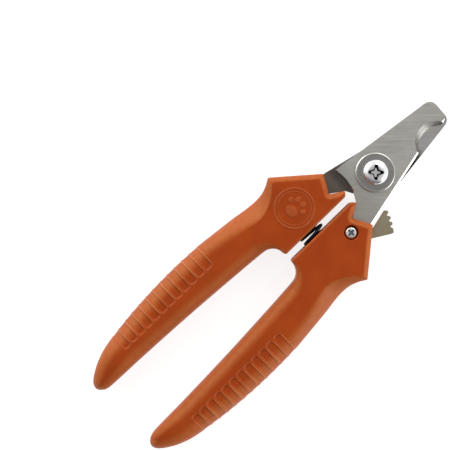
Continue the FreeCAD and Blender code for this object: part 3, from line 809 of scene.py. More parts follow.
@dataclass(frozen=True)
class BrightPlate:
    """Bright plated hardware: near-mirror metal with faint handling marks, and painted shade in its recess.
    """

    name: str
    colour: Colour
    shade: Colour
    # Colour of the painted shade on the recess walls.
    hollow: Colour
    roughness: float = 0.12

    def build(self, groups: Groups) -> bpy.types.Material:
        """Make the material.

        Args:
            groups: The shared node groups.

        Returns:
            The finished material.
        """
        material, sheet = new_material(self.name)
        grain = sheet.add("ShaderNodeGroup", {"Fine": 1800.0, "Coarse": 500.0}, node_tree=groups.grain)
        clouds = sheet.ramp(grain.outputs["Cloud"], 0.35, 0.65)
        bright = sheet.mix(clouds, rgba(self.shade), rgba(self.colour))
        # Painted shade on the recess walls.
        colour = sheet.mix(sheet.attribute("hollow"), bright, rgba(self.hollow))
        rough = sheet.ramp(grain.outputs["Lines"], 0.3, 0.75, self.roughness - 0.04, self.roughness + 0.06)
        bump = sheet.add("ShaderNodeBump", {"Strength": 0.05, "Distance": 0.00002,
                                            "Height": grain.outputs["Lines"]})
        shader = sheet.add("ShaderNodeBsdfPrincipled", {
            "Base Color": colour, "Roughness": rough, "Normal": bump.outputs["Normal"]})
        shader.inputs["Metallic"].default_value = 1.0
        sheet.add("ShaderNodeOutputMaterial", {"Surface": shader.outputs[0]})
        return material


# The plastic's last two colours are painted highlights, on the rims and on the crests.
PLASTIC = MouldedPlastic("orange_brown_plastic", (0.36, 0.050, 0.005), (0.315, 0.040, 0.004),
                         (0.50, 0.155, 0.035), (0.78, 0.36, 0.15))
# Each steel's third colour is a painted edge highlight. The blades' tang colours are painted shade, and the
# rear blade carries the front blade's painted shadow.
FRONT_STEEL = GroundSteel("front_blade_steel", (0.72, 0.70, 0.65), (0.57, 0.555, 0.51), (0.97, 0.97, 0.95),
                          fine=1700.0, tang_shade_colour=(0.50, 0.48, 0.43), tang_shade_amount=0.7)
REAR_STEEL = GroundSteel("rear_blade_steel", (0.63, 0.62, 0.60), (0.49, 0.485, 0.47), (0.85, 0.85, 0.82),
                         fine=1700.0, tang_shade_colour=(0.205, 0.170, 0.145), blade_shadow=0.9)
LEVER_STEEL = GroundSteel("lever_steel", (0.45, 0.395, 0.275), (0.31, 0.275, 0.19), (0.62, 0.56, 0.42),
                          roughness=0.45, lay=Axis.ACROSS, line_strength=0.4)
# The washer's edge colour, at full amount, paints a highlight on its rim.
WASHER_STEEL = GroundSteel("washer_steel", (0.43, 0.42, 0.40), (0.36, 0.352, 0.335), (0.70, 0.68, 0.62),
                           roughness=0.3, lay=Axis.ALONG, line_strength=0.12, edge_highlight_amount=1.0)
# The last colour of each plate is painted shade in its cross recess.
BRIGHT_CHROME = BrightPlate("bright_chrome", (0.95, 0.95, 0.96), (0.86, 0.86, 0.88), (0.045, 0.05, 0.05))
ZINC_SCREW = BrightPlate("zinc_screw", (0.92, 0.95, 0.93), (0.72, 0.80, 0.80), (0.19, 0.27, 0.30),
                         roughness=0.2)
BLACK_WIRE = GroundSteel("black_spring_wire", (0.030, 0.028, 0.027), (0.012, 0.011, 0.011),
                         (0.10, 0.10, 0.10), roughness=0.38, lay=Axis.ACROSS, metallic=0.6)


# ------------------------------------------------------------------------------ handles

@dataclass
class Handle:
    """Moulded handle: flat front block, rounded grip with flutes, and its pockets.

    Sizes and places are in the plain half's millimetres.

    The surface is a rounded slab: a plan outline whose edge radius grows from the block to the
    grip. A voxel skin is drawn onto that shape, divided where the flutes and the emblem are, and
    drawn on again with their relief.
    """

    half: Half
    block_edge: float = 1.9
    facing_edge: float = 0.9
    grip_outer_edge: float = 6.4
    grip_inner_edge: float = 5.4
    facing_y: float = 3.3
    outer_y: float = 12.5
    block_rear_x: float = -30.0
    throat_x: float = -44.5
    soft_x: float = -40.0
    outer_growth: float = 13.0
    inner_growth: float = 9.0
    outer_softening: float = 22.0
    inner_softening: float = 6.0
    voxel: float = 0.42
    flute_pitch: float = 3.86
    flute_width: float = 3.15
    flute_corner: float = 1.15
    chamfer_power: float = 1.25
    tail_start_x: float = -114.0
    tail_length: float = 17.7
    tail_drop: float = 3.0
    tail_sharpen: float = 3.0
    flute_first_x: float = -113.4
    flute_count: int = 12
    flute_top_y: float = 17.7
    flute_deep: float = 0.42
    socket_x: float = -32.8
    socket_radius: float = 5.6
    socket_end: float = 6.65
    emblem_x: float = -31.3
    emblem_y: float = 11.6
    emblem_radius: float = 7.5
    emblem_tall: float = 0.24
    emblem_ring_gap: float = 1.15
    paw_pads: tuple[tuple[float, float, float, float], ...] = (
        (-1.5, 0.0, 2.1, 2.6), (1.3, 3.3, 1.2, 0.95), (3.3, 1.35, 1.35, 1.0), (3.3, -1.35, 1.35, 1.0),
        (1.3, -3.3, 1.2, 0.95))
    slot_top: float = 0.02
    slot_floor: float = 2.6
    slot_round: float = 3.5
    sink_radius: float = 2.75
    pocket_floor: float = 4.7
    pocket_radius: float = 2.95
    finger_points: tuple[tuple[float, float, float], ...] = (
        (-30.2, 26.7, 0.6), (-14.4, 13.3, 0.5), (-18.2, 6.2, 0.25), (-13.0, 3.1, 0.7),
        (-14.4, 1.4, 1.6), (-45.9, 1.4, 1.0))
    outline: np.ndarray = field(init=False)

    def __post_init__(self) -> None:
        """Work the plan outline out once."""
        throat = [(x, y, 0.0) for x, y in arc_between((-45.9, 1.4), (-51.0, 7.8), 5.3, -1, 8)]
        tail = smooth_curve(((-51.0, 7.8), (-60.0, 8.5), (-85.0, 10.1), (-110.0, 11.2), (-124.0, 11.6),
                             (-128.2, 11.9), (-130.4, 12.9), (-131.6, 14.4), (-131.6, 16.0),
                             (-130.7, 17.5), (-128.4, 19.3), (-124.5, 21.5), (-119.0, 23.5),
                             (-112.0, 24.8), (-104.0, 25.85), (-95.0, 26.6), (-86.0, 27.0),
                             (-77.0, 27.05), (-68.0, 26.7), (-59.0, 25.8), (-50.0, 24.8),
                             (-44.0, 23.9), (-39.5, 23.6), (-36.0, 23.95), (-33.0, 25.0),
                             (-31.0, 26.15)), 7)
        corners = [*self.finger_points, *throat, *((x, y, 0.0) for x, y in tail)]
        self.outline = np.array(round_corners(corners))

    def plan_distance(self, places: np.ndarray) -> tuple[np.ndarray, np.ndarray, np.ndarray]:
        """Signed distance from the plan outline, negative inside.

        Args:
            places: Points in plan, one per row.

        Returns:
            The distance, its outward direction and the nearest outline point of each place.
        """
        starts = self.outline
        ends = np.roll(starts, -1, axis=0)
        spans = ends - starts
        lengths = np.maximum((spans ** 2).sum(1), 1e-12)
        distance = np.empty(len(places))
        nearest = np.empty((len(places), 2))
        for low in range(0, len(places), 6000):
            part = places[low:low + 6000]
            offset = part[:, None, :] - starts[None, :, :]
            along = np.clip((offset * spans).sum(2) / lengths, 0.0, 1.0)
            gaps = ((offset - along[:, :, None] * spans) ** 2).sum(2)
            best = gaps.argmin(1)
            rows = np.arange(len(part))
            nearest[low:low + 6000] = starts[best] + along[rows, best, None] * spans[best]
            x, y = part[:, 0:1], part[:, 1:2]
            crosses = (starts[:, 1] > y) != (ends[:, 1] > y)
            rise = np.where(np.abs(spans[:, 1]) < 1e-12, 1e-12, spans[:, 1])
            inside = (crosses & (x < starts[:, 0] + (y - starts[:, 1]) / rise * spans[:, 0])).sum(1) % 2 == 1
            distance[low:low + 6000] = np.sqrt(gaps[rows, best]) * np.where(inside, -1.0, 1.0)
        safe = np.where(np.abs(distance) < 1e-9, 1e-9, distance)
        return distance, (places - nearest) / safe[:, None], nearest

    def edge_radius(self, nearest: np.ndarray) -> np.ndarray:
        """Edge radius round the outline: small on the block, large on the grip.

        Args:
            nearest: Points of the outline, one per row.

        Returns:
            The radius at each point.
        """
        x, y = nearest[:, 0], nearest[:, 1]
        block = np.where(y < self.facing_y, self.facing_edge, self.block_edge)
        outer = (y > self.outer_y) & (x < self.block_rear_x)
        outer_gain = smoothstep((self.block_rear_x - 0.2 - x) / self.outer_growth)
        inner = (x < self.throat_x) & ~outer
        inner_gain = smoothstep((self.throat_x - x) / self.inner_growth)
        outer_radius = self.block_edge + (self.grip_outer_edge - self.block_edge) * outer_gain
        inner_radius = self.facing_edge + (self.grip_inner_edge - self.facing_edge) * inner_gain
        return np.where(inner, inner_radius, np.where(outer, outer_radius, block))

    def flute_inset(self, x: np.ndarray, y: np.ndarray) -> np.ndarray:
        """How far points lie inside the flutes' outlines: a row of channels with rounded ends.

        Args:
            x: Places along the handle.
            y: Places across it.

        Returns:
            The depth inside the nearest outline, negative outside.
        """
        run = x - self.flute_first_x
        local = np.mod(run, self.flute_pitch) - self.flute_width / 2
        aside = np.abs(local) - (self.flute_width / 2 - self.flute_corner)
        ahead = self.flute_top_y + self.flute_corner - y
        outside = np.hypot(np.maximum(aside, 0.0), np.maximum(ahead, 0.0))
        inset = self.flute_corner - outside - np.minimum(np.maximum(aside, ahead), 0.0)
        return np.where((run < 0) | (run > self.flute_pitch * self.flute_count), -1.0, inset)

    def flute_depth(self, x: np.ndarray, y: np.ndarray, z: np.ndarray) -> np.ndarray:
        """Depth of the flutes, which are shallow on the grip's outer ridge.

        Args:
            x: Places along the handle.
            y: Places across it.
            z: Heights above the middle plane.

        Returns:
            The depth at each place.
        """
        shallow = 0.35 + 0.65 * smoothstep((np.abs(z) - 0.5) / 4.0)
        return self.flute_deep * shallow * smoothstep((self.flute_inset(x, y) + 0.12) / 0.5)

    def emblem_height(self, x: np.ndarray, y: np.ndarray) -> np.ndarray:
        """Height of the emblem: two rings round a paw print of five pads.

        Args:
            x: Places along the handle.
            y: Places across it.

        Returns:
            The relief at each place.
        """
        across, along = x - self.emblem_x, y - self.emblem_y
        reach = np.hypot(across, along)
        ridge = smoothstep((0.42 - np.abs(reach - self.emblem_radius)) / 0.3)
        inner_reach = self.emblem_radius - self.emblem_ring_gap
        ridge = np.maximum(ridge, 0.7 * smoothstep((0.3 - np.abs(reach - inner_reach)) / 0.25))
        for pad_x, pad_y, width, length in self.paw_pads:
            pad = np.hypot((across - pad_x) / width, (along - pad_y) / length)
            ridge = np.maximum(ridge, smoothstep((1.0 - pad) * width / 0.45))
        return self.emblem_tall * ridge

    def norm_power(self, nearest: np.ndarray) -> np.ndarray:
        """Shape of the edge: close to a flat chamfer round the block, fully round on the grip.

        Args:
            nearest: Points of the outline, one per row.

        Returns:
            The power of the edge's curve at each point: 1 is a chamfer and 2 is round.
        """
        x, y = nearest[:, 0], nearest[:, 1]
        outer = (y > self.outer_y) & (x < self.block_rear_x)
        soften = np.where(outer, smoothstep((self.soft_x - x) / self.outer_softening),
                          smoothstep((self.throat_x - x) / self.inner_softening))
        soften = np.where(y < self.facing_y, 1.0, soften)
        return self.chamfer_power + (2.0 - self.chamfer_power) * soften

    def terms(self, places: np.ndarray) -> tuple[np.ndarray, np.ndarray, np.ndarray, np.ndarray]:
        """Evaluate the plain rounded slab at points in space.

        Args:
            places: The points, one per row.

        Returns:
            The slab's value, its slopes away from the outline and away from the middle plane, and
            the outline's outward direction.
        """
        distance, outward, nearest = self.plan_distance(places[:, :2])
        tail = np.clip((self.tail_start_x - places[:, 0]) / self.tail_length, 0.0, 1.0)
        radius = self.edge_radius(nearest) - self.tail_sharpen * tail
        power = self.norm_power(nearest)
        plan = distance + radius
        rise = np.abs(places[:, 2]) - HALF_HEIGHT + self.tail_drop * tail ** 2 + radius
        plan_held, rise_held = np.maximum(plan, 1e-6), np.maximum(rise, 1e-6)
        both = (plan_held ** power + rise_held ** power) ** (1 / power)
        rounded = (plan > 0) & (rise > 0)
        value = np.where(rounded, both, np.maximum(plan, rise)) - radius
        slope_plan = np.where(rounded, (plan_held / both) ** (power - 1), (plan > rise).astype(float))
        slope_rise = np.where(rounded, (rise_held / both) ** (power - 1), (plan <= rise).astype(float))
        return value, slope_plan, slope_rise, outward

    def write_rim(self, piece: bpy.types.Object) -> None:
        """Store how much each vertex belongs to the slab's edge, and to the crests of its relief; the finish
        paints highlights on both.

        Args:
            piece: The carved handle, which gets the attributes rim and crest.
        """
        mesh = piece.data
        flat = np.empty(len(mesh.vertices) * 3)
        mesh.vertices.foreach_get("co", flat)
        _, slope_plan, slope_rise, _ = self.terms(flat.reshape(-1, 3))
        length = np.maximum(slope_plan ** 2 + slope_rise ** 2, 1e-9)
        layer = mesh.attributes.new("rim", "FLOAT", "POINT")
        layer.data.foreach_set("value", smoothstep(2.0 * slope_plan * slope_rise / length))
        x, y, z = flat.reshape(-1, 3).T
        # Painted highlight along the flute crests, stronger where the flutes run straight.
        straight = smoothstep((y - self.flute_top_y - 0.3) / 1.6)
        crest = (0.16 + 0.3 * straight) * smoothstep((0.24 - np.abs(self.flute_inset(x, y) + 0.22)) / 0.16)
        if self.half is Half.LEFT:
            # Faint painted highlight on the emblem's relief.
            mark = 0.1 * self.emblem_height(x, y) / self.emblem_tall
            crest = np.where(z > HALF_HEIGHT - 0.05, np.maximum(crest, mark), crest)
        mesh.attributes.new("crest", "FLOAT", "POINT").data.foreach_set("value", crest)

    def draw_on(self, piece: bpy.types.Object, rounds: int, relief: bool) -> None:
        """Move every vertex of a skin onto the handle's surface.

        Args:
            piece: The skin.
            rounds: Number of steps towards the surface.
            relief: Whether flutes and emblem are part of the surface.
        """
        mesh = piece.data
        flat = np.empty(len(mesh.vertices) * 3)
        mesh.vertices.foreach_get("co", flat)
        places = flat.reshape(-1, 3)
        for _ in range(rounds):
            value, slope_plan, slope_rise, outward = self.terms(places)
            if relief:
                value += self.flute_depth(*places.T)
                if self.half is Half.LEFT:
                    top = places[:, 2] > HALF_HEIGHT / 2
                    value -= np.where(top, self.emblem_height(places[:, 0], places[:, 1]), 0.0)
            step = value / np.maximum(slope_plan ** 2 + slope_rise ** 2, 0.25)
            places[:, :2] -= (step * slope_plan)[:, None] * outward
            places[:, 2] -= step * slope_rise * np.sign(places[:, 2])
        mesh.vertices.foreach_set("co", places.reshape(-1))
        mesh.update()

    def detailed(self, middle: Vector) -> bool:
        """Whether a face lies where the flutes or the emblem need a finer skin.

        Args:
            middle: The face's middle.

        Returns:
            True where they do.
        """
        last_x = self.flute_first_x + self.flute_pitch * self.flute_count
        fluted = self.flute_first_x - 1.0 < middle.x < last_x + 0.6 and middle.y > self.flute_top_y - 0.8
        from_emblem = math.hypot(middle.x - self.emblem_x, middle.y - self.emblem_y)
        top = self.half is Half.LEFT and middle.z > HALF_HEIGHT - 1.0
        return fluted or (top and from_emblem < self.emblem_radius + 0.9)

    def cutters(self) -> list[bpy.types.Object]:
        """Make what is cut out of the handle: the spring socket and, on the right, the lever's pockets.

        Returns:
            The cutters, which don't touch each other.
        """
        bpy.ops.object.select_all(action="DESELECT")
        bpy.ops.mesh.primitive_cylinder_add(vertices=96, radius=self.socket_radius, depth=2 * self.socket_end,
                                            location=(self.socket_x, 0.0, 0.0),
                                            rotation=(math.pi / 2, 0.0, 0.0))
        socket = new_piece("socket_cutter")
        bpy.ops.object.transform_apply(location=True, rotation=True, scale=True)
        if self.half is Half.LEFT:
            return [socket]
        hub = [(LEVER_X + self.slot_round * math.cos(angle), LEVER_Y + self.slot_round * math.sin(angle))
               for angle in np.linspace(math.radians(145), math.radians(270), 16)]
        mouth = [(-18.1, 6.5), (-8.0, 6.5), (-8.0, 26.0), (-16.5, 26.0), (-21.6, 17.5)]
        slot = prism("slot_cutter", [*hub, *mouth], -self.slot_top, self.slot_floor)
        sink = turned("sink_cutter", ((self.sink_radius, -self.pocket_floor),
                                      (self.sink_radius, 0.25 - HALF_HEIGHT),
                                      (self.sink_radius + 0.5, -0.25 - HALF_HEIGHT)), 64)
        pocket = turned("pocket_cutter", ((self.pocket_radius, self.pocket_floor),
                                          (self.pocket_radius, HALF_HEIGHT + 1.0)), 6)
        for cutter in (sink, pocket):
            cutter.data.transform(Matrix.Translation((LEVER_X, LEVER_Y, 0.0)))
        return [socket, slot, sink, pocket]

    def build(self, groups: Groups) -> None:
        """Model the handle, carve its pockets and finish it.

        Args:
            groups: The shared node groups.
        """
        side = self.half.name.lower()
        piece = prism("handle_%s_shell" % side, [tuple(point) for point in self.outline],
                      -HALF_HEIGHT, HALF_HEIGHT)
        for rounds in (3, 4):
            apply_modifier(piece, "REMESH", mode="VOXEL", voxel_size=self.voxel)
            self.draw_on(piece, rounds, relief=False)
        select_where(piece, "FACE", self.detailed)
        bpy.ops.mesh.subdivide(number_cuts=1)
        bpy.ops.object.mode_set(mode="OBJECT")
        self.draw_on(piece, 4, relief=True)
        carve(piece, *self.cutters())
        face_outward(piece)
        self.write_rim(piece)
        finish_piece(piece, self.half, self.half.value, "handle_%s" % side, PLASTIC.build(groups), 38.0)


# ------------------------------------------------------------------------------ blades

@dataclass
class Blade:
    """Stamped and ground jaw blade with a bevelled half-round notch.

    notch_outer and notch_edge hold the notch's radius and its centre's y, at the blade's outer
    face and at the cutting edge.
    """

    half: Half
    thick: float = 2.5
    gap: float = 0.02
    edge_break: float = 0.14
    ground_bevel: float = 0.6
    bevel_drop: float = 0.32
    shoulder_bevel: float = 0.3
    pivot_hole: float = 2.55
    notch_x: float = 24.4
    notch_outer: Point = (7.8, 7.6)
    notch_edge: Point = (9.08, 11.25)
    cutting_line: tuple[Point, ...] = ((-13.6, 13.0), (16.5, 6.2), (31.7, 4.3))
    shoulder: Point = (-10.1, -11.1)
    waist: Point = (-11.2, 0.0)
    shoulder_arc: float = 14.7

    def outline(self) -> list[Point]:
        """Plan outline of the blade and its tang.

        Returns:
            The outline, from the cutting side round the jaw tip and the shoulder to the tang.
        """
        cutting = [(x, y, 0.0) for x, y in self.cutting_line]
        curve = [(x, y, 0.0) for x, y in arc_between(self.shoulder, self.waist, self.shoulder_arc, -1, 9)]
        return round_corners([*cutting, (33.9, 2.9, 1.5),
                              (34.4, -5.26, 3.2), (*self.shoulder, 0.25), *curve, (*self.waist, 0.0),
                              (-12.7, 2.8, 1.5), (-17.8, 6.3, 0.0), (-24.0, 8.2, 2.0), (-74.0, 12.0, 2.5),
                              (-74.0, 18.0, 2.5), (-20.0, 13.6, 2.0)], 12)

    def in_notch(self, spot: Vector) -> bool:
        """Whether a point lies on the notch's bevelled wall.

        Args:
            spot: The point.

        Returns:
            True on the wall.
        """
        (outer_radius, outer_y), (edge_radius, edge_y) = self.notch_outer, self.notch_edge
        share = (spot.z + self.thick) / self.thick
        radius = outer_radius + (edge_radius - outer_radius) * share
        reach = math.hypot(spot.x - self.notch_x, spot.y - outer_y - (edge_y - outer_y) * share)
        return abs(reach - radius) < 0.08

    def notch_cutter(self) -> bpy.types.Object:
        """Make the leaning cone that cuts the notch with its bevel.

        Returns:
            The cutter.
        """
        (outer_radius, outer_y), (edge_radius, edge_y) = self.notch_outer, self.notch_edge
        spread = 0.25
        radius_step = (edge_radius - outer_radius) * spread
        y_step = (edge_y - outer_y) * spread
        low, high = -self.thick * (1 + spread), self.thick * spread
        bpy.ops.object.select_all(action="DESELECT")
        bpy.ops.mesh.primitive_circle_add(vertices=256, radius=outer_radius - radius_step, fill_type="NGON",
                                          location=(self.notch_x, outer_y - y_step, low))
        cutter = new_piece("notch_cutter")
        bpy.ops.object.transform_apply(location=True, rotation=False, scale=False)
        bpy.ops.object.mode_set(mode="EDIT")
        bpy.ops.mesh.select_all(action="SELECT")
        rise = (0.0, edge_y - outer_y + 2 * y_step, high - low)
        bpy.ops.mesh.extrude_region_move(TRANSFORM_OT_translate={"value": rise})
        grow = (edge_radius + radius_step) / (outer_radius - radius_step)
        bpy.ops.transform.resize(value=(grow, grow, 1.0),
                                 center_override=(self.notch_x, edge_y + y_step, high))
        bpy.ops.object.mode_set(mode="OBJECT")
        face_outward(cutter)
        return cutter

    def build(self, groups: Groups) -> None:
        """Model the blade and finish it.

        Args:
            groups: The shared node groups.
        """
        side, steel = ("front", FRONT_STEEL) if self.half is Half.RIGHT else ("rear", REAR_STEEL)
        piece = prism("blade_%s_ground" % side, self.outline(), -self.thick, -self.gap)
        middles = [Vector(((start[0] + end[0]) / 2, (start[1] + end[1]) / 2, -self.thick))
                   for start, end in zip(self.cutting_line, self.cutting_line[1:])]
        select_where(piece, "EDGE", lambda spot: min((spot - middle).length for middle in middles) < 0.5)
        # The ground bevel goes in the edge zone, which gets a painted highlight.
        bpy.ops.mesh.bevel(offset=self.ground_bevel, offset_type="OFFSET", segments=1, clamp_overlap=False,
                           material=Zone.EDGE.value)
        bpy.ops.object.mode_set(mode="OBJECT")
        for vertex in piece.data.vertices:
            if abs(vertex.co.z + self.thick - self.ground_bevel) < 1e-3:
                vertex.co.z = self.bevel_drop - self.thick
        # The shoulder bevel also gets the painted edge highlight.
        select_where(piece, "EDGE", lambda spot: self.waist[0] - 1.8 < spot.x < self.shoulder[0] + 0.2
                     and self.shoulder[1] + 0.1 < spot.y < self.waist[1] - 0.1
                     and spot.z < -self.thick + 0.01)
        bpy.ops.mesh.bevel(offset=self.shoulder_bevel, offset_type="OFFSET", segments=1,
                           clamp_overlap=False, material=Zone.EDGE.value)
        bpy.ops.object.mode_set(mode="OBJECT")
        hole = turned("pivot_cutter", ((self.pivot_hole, -self.thick - 1), (self.pivot_hole, 1.0)))
        carve(piece, self.notch_cutter(), hole)
        face_outward(piece)
        # Painted shade on the notch's bevelled wall.
        mark_faces(piece, Zone.HOLLOW, self.in_notch)
        break_edges(piece, self.edge_break)
        finish_piece(piece, self.half, self.half.value, "blade_%s" % side, steel.build(groups), 12.5)


# ------------------------------------------------------------------------------ pivot

def cross_recess_cutter(reach: float, arm: float, waist: float, top: float, deep: float,
                        turn: float) -> bpy.types.Object:
    """Tapered four-armed star that cuts a cross recess into a screw head.

    Args:
        reach: Length of an arm from the middle.
        arm: Half the width of an arm.
        waist: Distance of the hollows between the arms, along X and Y.
        top: Height of the head's top.
        deep: Depth of the recess.
        turn: Turn of the arms about Z, in degrees.

    Returns:
        The cutter.
    """
    quarter = ((reach, -arm * 0.85), (reach + 0.08 * arm, 0.0), (reach, arm * 0.85),
               (waist * 1.75, arm * 1.08), (waist, waist))
    star = []
    for number in range(4):
        angle = math.radians(turn + 90 * number)
        star += [(x * math.cos(angle) - y * math.sin(angle), x * math.sin(angle) + y * math.cos(angle))
                 for x, y in quarter]
    cutter = prism("recess_cutter", star, top - deep, top + 0.3)
    for vertex in cutter.data.vertices:
        if vertex.co.z < top:
            vertex.co.x *= 0.5
            vertex.co.y *= 0.5
    return cutter


@dataclass
class PivotStack:
    """Pivot screw, its two washers and its nut, on the left half."""

    shank: float = 2.5
    head: float = 4.75
    seat: float = 3.73
    head_tall: float = 3.7
    under: float = -6.75
    washer: float = 7.5
    washer_hole: float = 2.65
    washer_thick: float = 1.2
    top_washer_z: float = 2.53
    bottom_washer_z: float = -3.7
    nut_flats: float = 8.0
    nut_thick: float = 2.7
    head_side: float = 1.35
    tip_chamfer: float = 0.45
    recess_reach: float = 3.35
    recess_arm: float = 0.7
    recess_waist: float = 1.15
    recess_deep: float = 2.4
    recess_turn: float = 45.0

    def in_recess(self, spot: Vector) -> bool:
        """Whether a face of the screw is a wall of its cross recess.

        Args:
            spot: The face's middle.

        Returns:
            True for the walls; the recess's bright floor and the dome are left out.
        """
        share = math.hypot(spot.x, spot.y) / self.head
        rise = (self.head_tall - self.head_side) * (1 - min(share, 1.0) ** 2.2) ** 0.5
        dome = self.seat + self.head_side + rise
        return share < 0.72 and self.seat + 1.4 < spot.z < dome - 0.16

    def screw(self, groups: Groups) -> None:
        """Model the pan head screw with its cross recess.

        Args:
            groups: The shared node groups.
        """
        crown, side = self.seat + self.head_tall, self.seat + self.head_side
        profile = [(self.shank - self.tip_chamfer, self.under), (self.shank, self.under + self.tip_chamfer),
                   (self.shank, self.seat), (self.head - 0.15, self.seat), (self.head, self.seat + 0.2),
                   (self.head, side)]
        steps = 14
        for step in range(1, steps + 1):
            angle = math.radians(90 * step / steps)
            profile.append((self.head * (1 - 0.985 * (1 - math.cos(angle))) if step < steps else 0.05,
                            side + (crown - side) * math.sin(angle) ** 0.9))
        piece = turned("pivot_screw_bright", profile)
        carve(piece, cross_recess_cutter(self.recess_reach, self.recess_arm, self.recess_waist, crown,
                                         self.recess_deep, self.recess_turn))
        face_outward(piece)
        # Painted shade on the recess walls.
        mark_faces(piece, Zone.HOLLOW, self.in_recess)
        break_edges(piece, 0.07, 40.0)
        finish_piece(piece, Half.LEFT, Half.LEFT.value, "pivot_screw", BRIGHT_CHROME.build(groups), 40.0)

    def washers(self, groups: Groups) -> None:
        """Model the two washers: flat rings with a turned rim, the top one slightly dished.

        Args:
            groups: The shared node groups.
        """
        rim, hole = self.washer, self.washer_hole
        for name, low, dish in (("top_washer", self.top_washer_z, 0.12),
                                ("bottom_washer", self.bottom_washer_z, 0.0)):
            top, middle = low + self.washer_thick, low + self.washer_thick / 2
            section = ((hole, low + 0.1), (hole + 0.1, low), (rim - 0.15, low), (rim, low + 0.15),
                       (rim, top - 0.45), (rim - 0.12, top - 0.22), (rim - 0.34, top - 0.07),
                       (rim - 0.55, top - 0.02), (rim - 0.72, top - 0.06 - dish / 2),
                       (rim - 1.1, top - dish), (hole + 1.6, top - 0.02), (hole + 0.1, top),
                       (hole, top - 0.1))
            piece = turned_ring(name + "_turned", section, 128)
            # Painted highlight on the washer's turned rim.
            mark_faces(piece, Zone.EDGE,
                       lambda spot: math.hypot(spot.x, spot.y) > rim - 0.3 and spot.z > middle)
            finish_piece(piece, Half.LEFT, Half.LEFT.value, name, WASHER_STEEL.build(groups), 50.0)

    def nut(self, groups: Groups) -> None:
        """Model the thin hex nut with chamfered corners.

        Args:
            groups: The shared node groups.
        """
        radius = self.nut_flats / math.sqrt(3)
        top = self.bottom_washer_z
        low = top - self.nut_thick
        piece = turned("pivot_nut_plated", ((radius, low), (radius, top)), 6)
        bore = turned("bore_cutter", ((self.shank + 0.02, low - 1), (self.shank + 0.02, top + 1)), 64)
        carve(piece, bore)
        crown = self.nut_flats / 2
        collar = turned_ring("collar_cutter", ((crown - 0.1, low - 1.0), (radius + 2, low - 1.0),
                                               (radius + 2, low + 1.25), (crown - 0.1, low - 0.05)), 96)
        carve(piece, collar)
        face_outward(piece)
        break_edges(piece, 0.1, 35.0)
        finish_piece(piece, Half.LEFT, Half.LEFT.value, "pivot_nut", WASHER_STEEL.build(groups))

    def build(self, groups: Groups) -> None:
        """Model every piece of the pivot.

        Args:
            groups: The shared node groups.
        """
        self.screw(groups)
        self.washers(groups)
        self.nut(groups)


# ------------------------------------------------------------------------------ lock lever

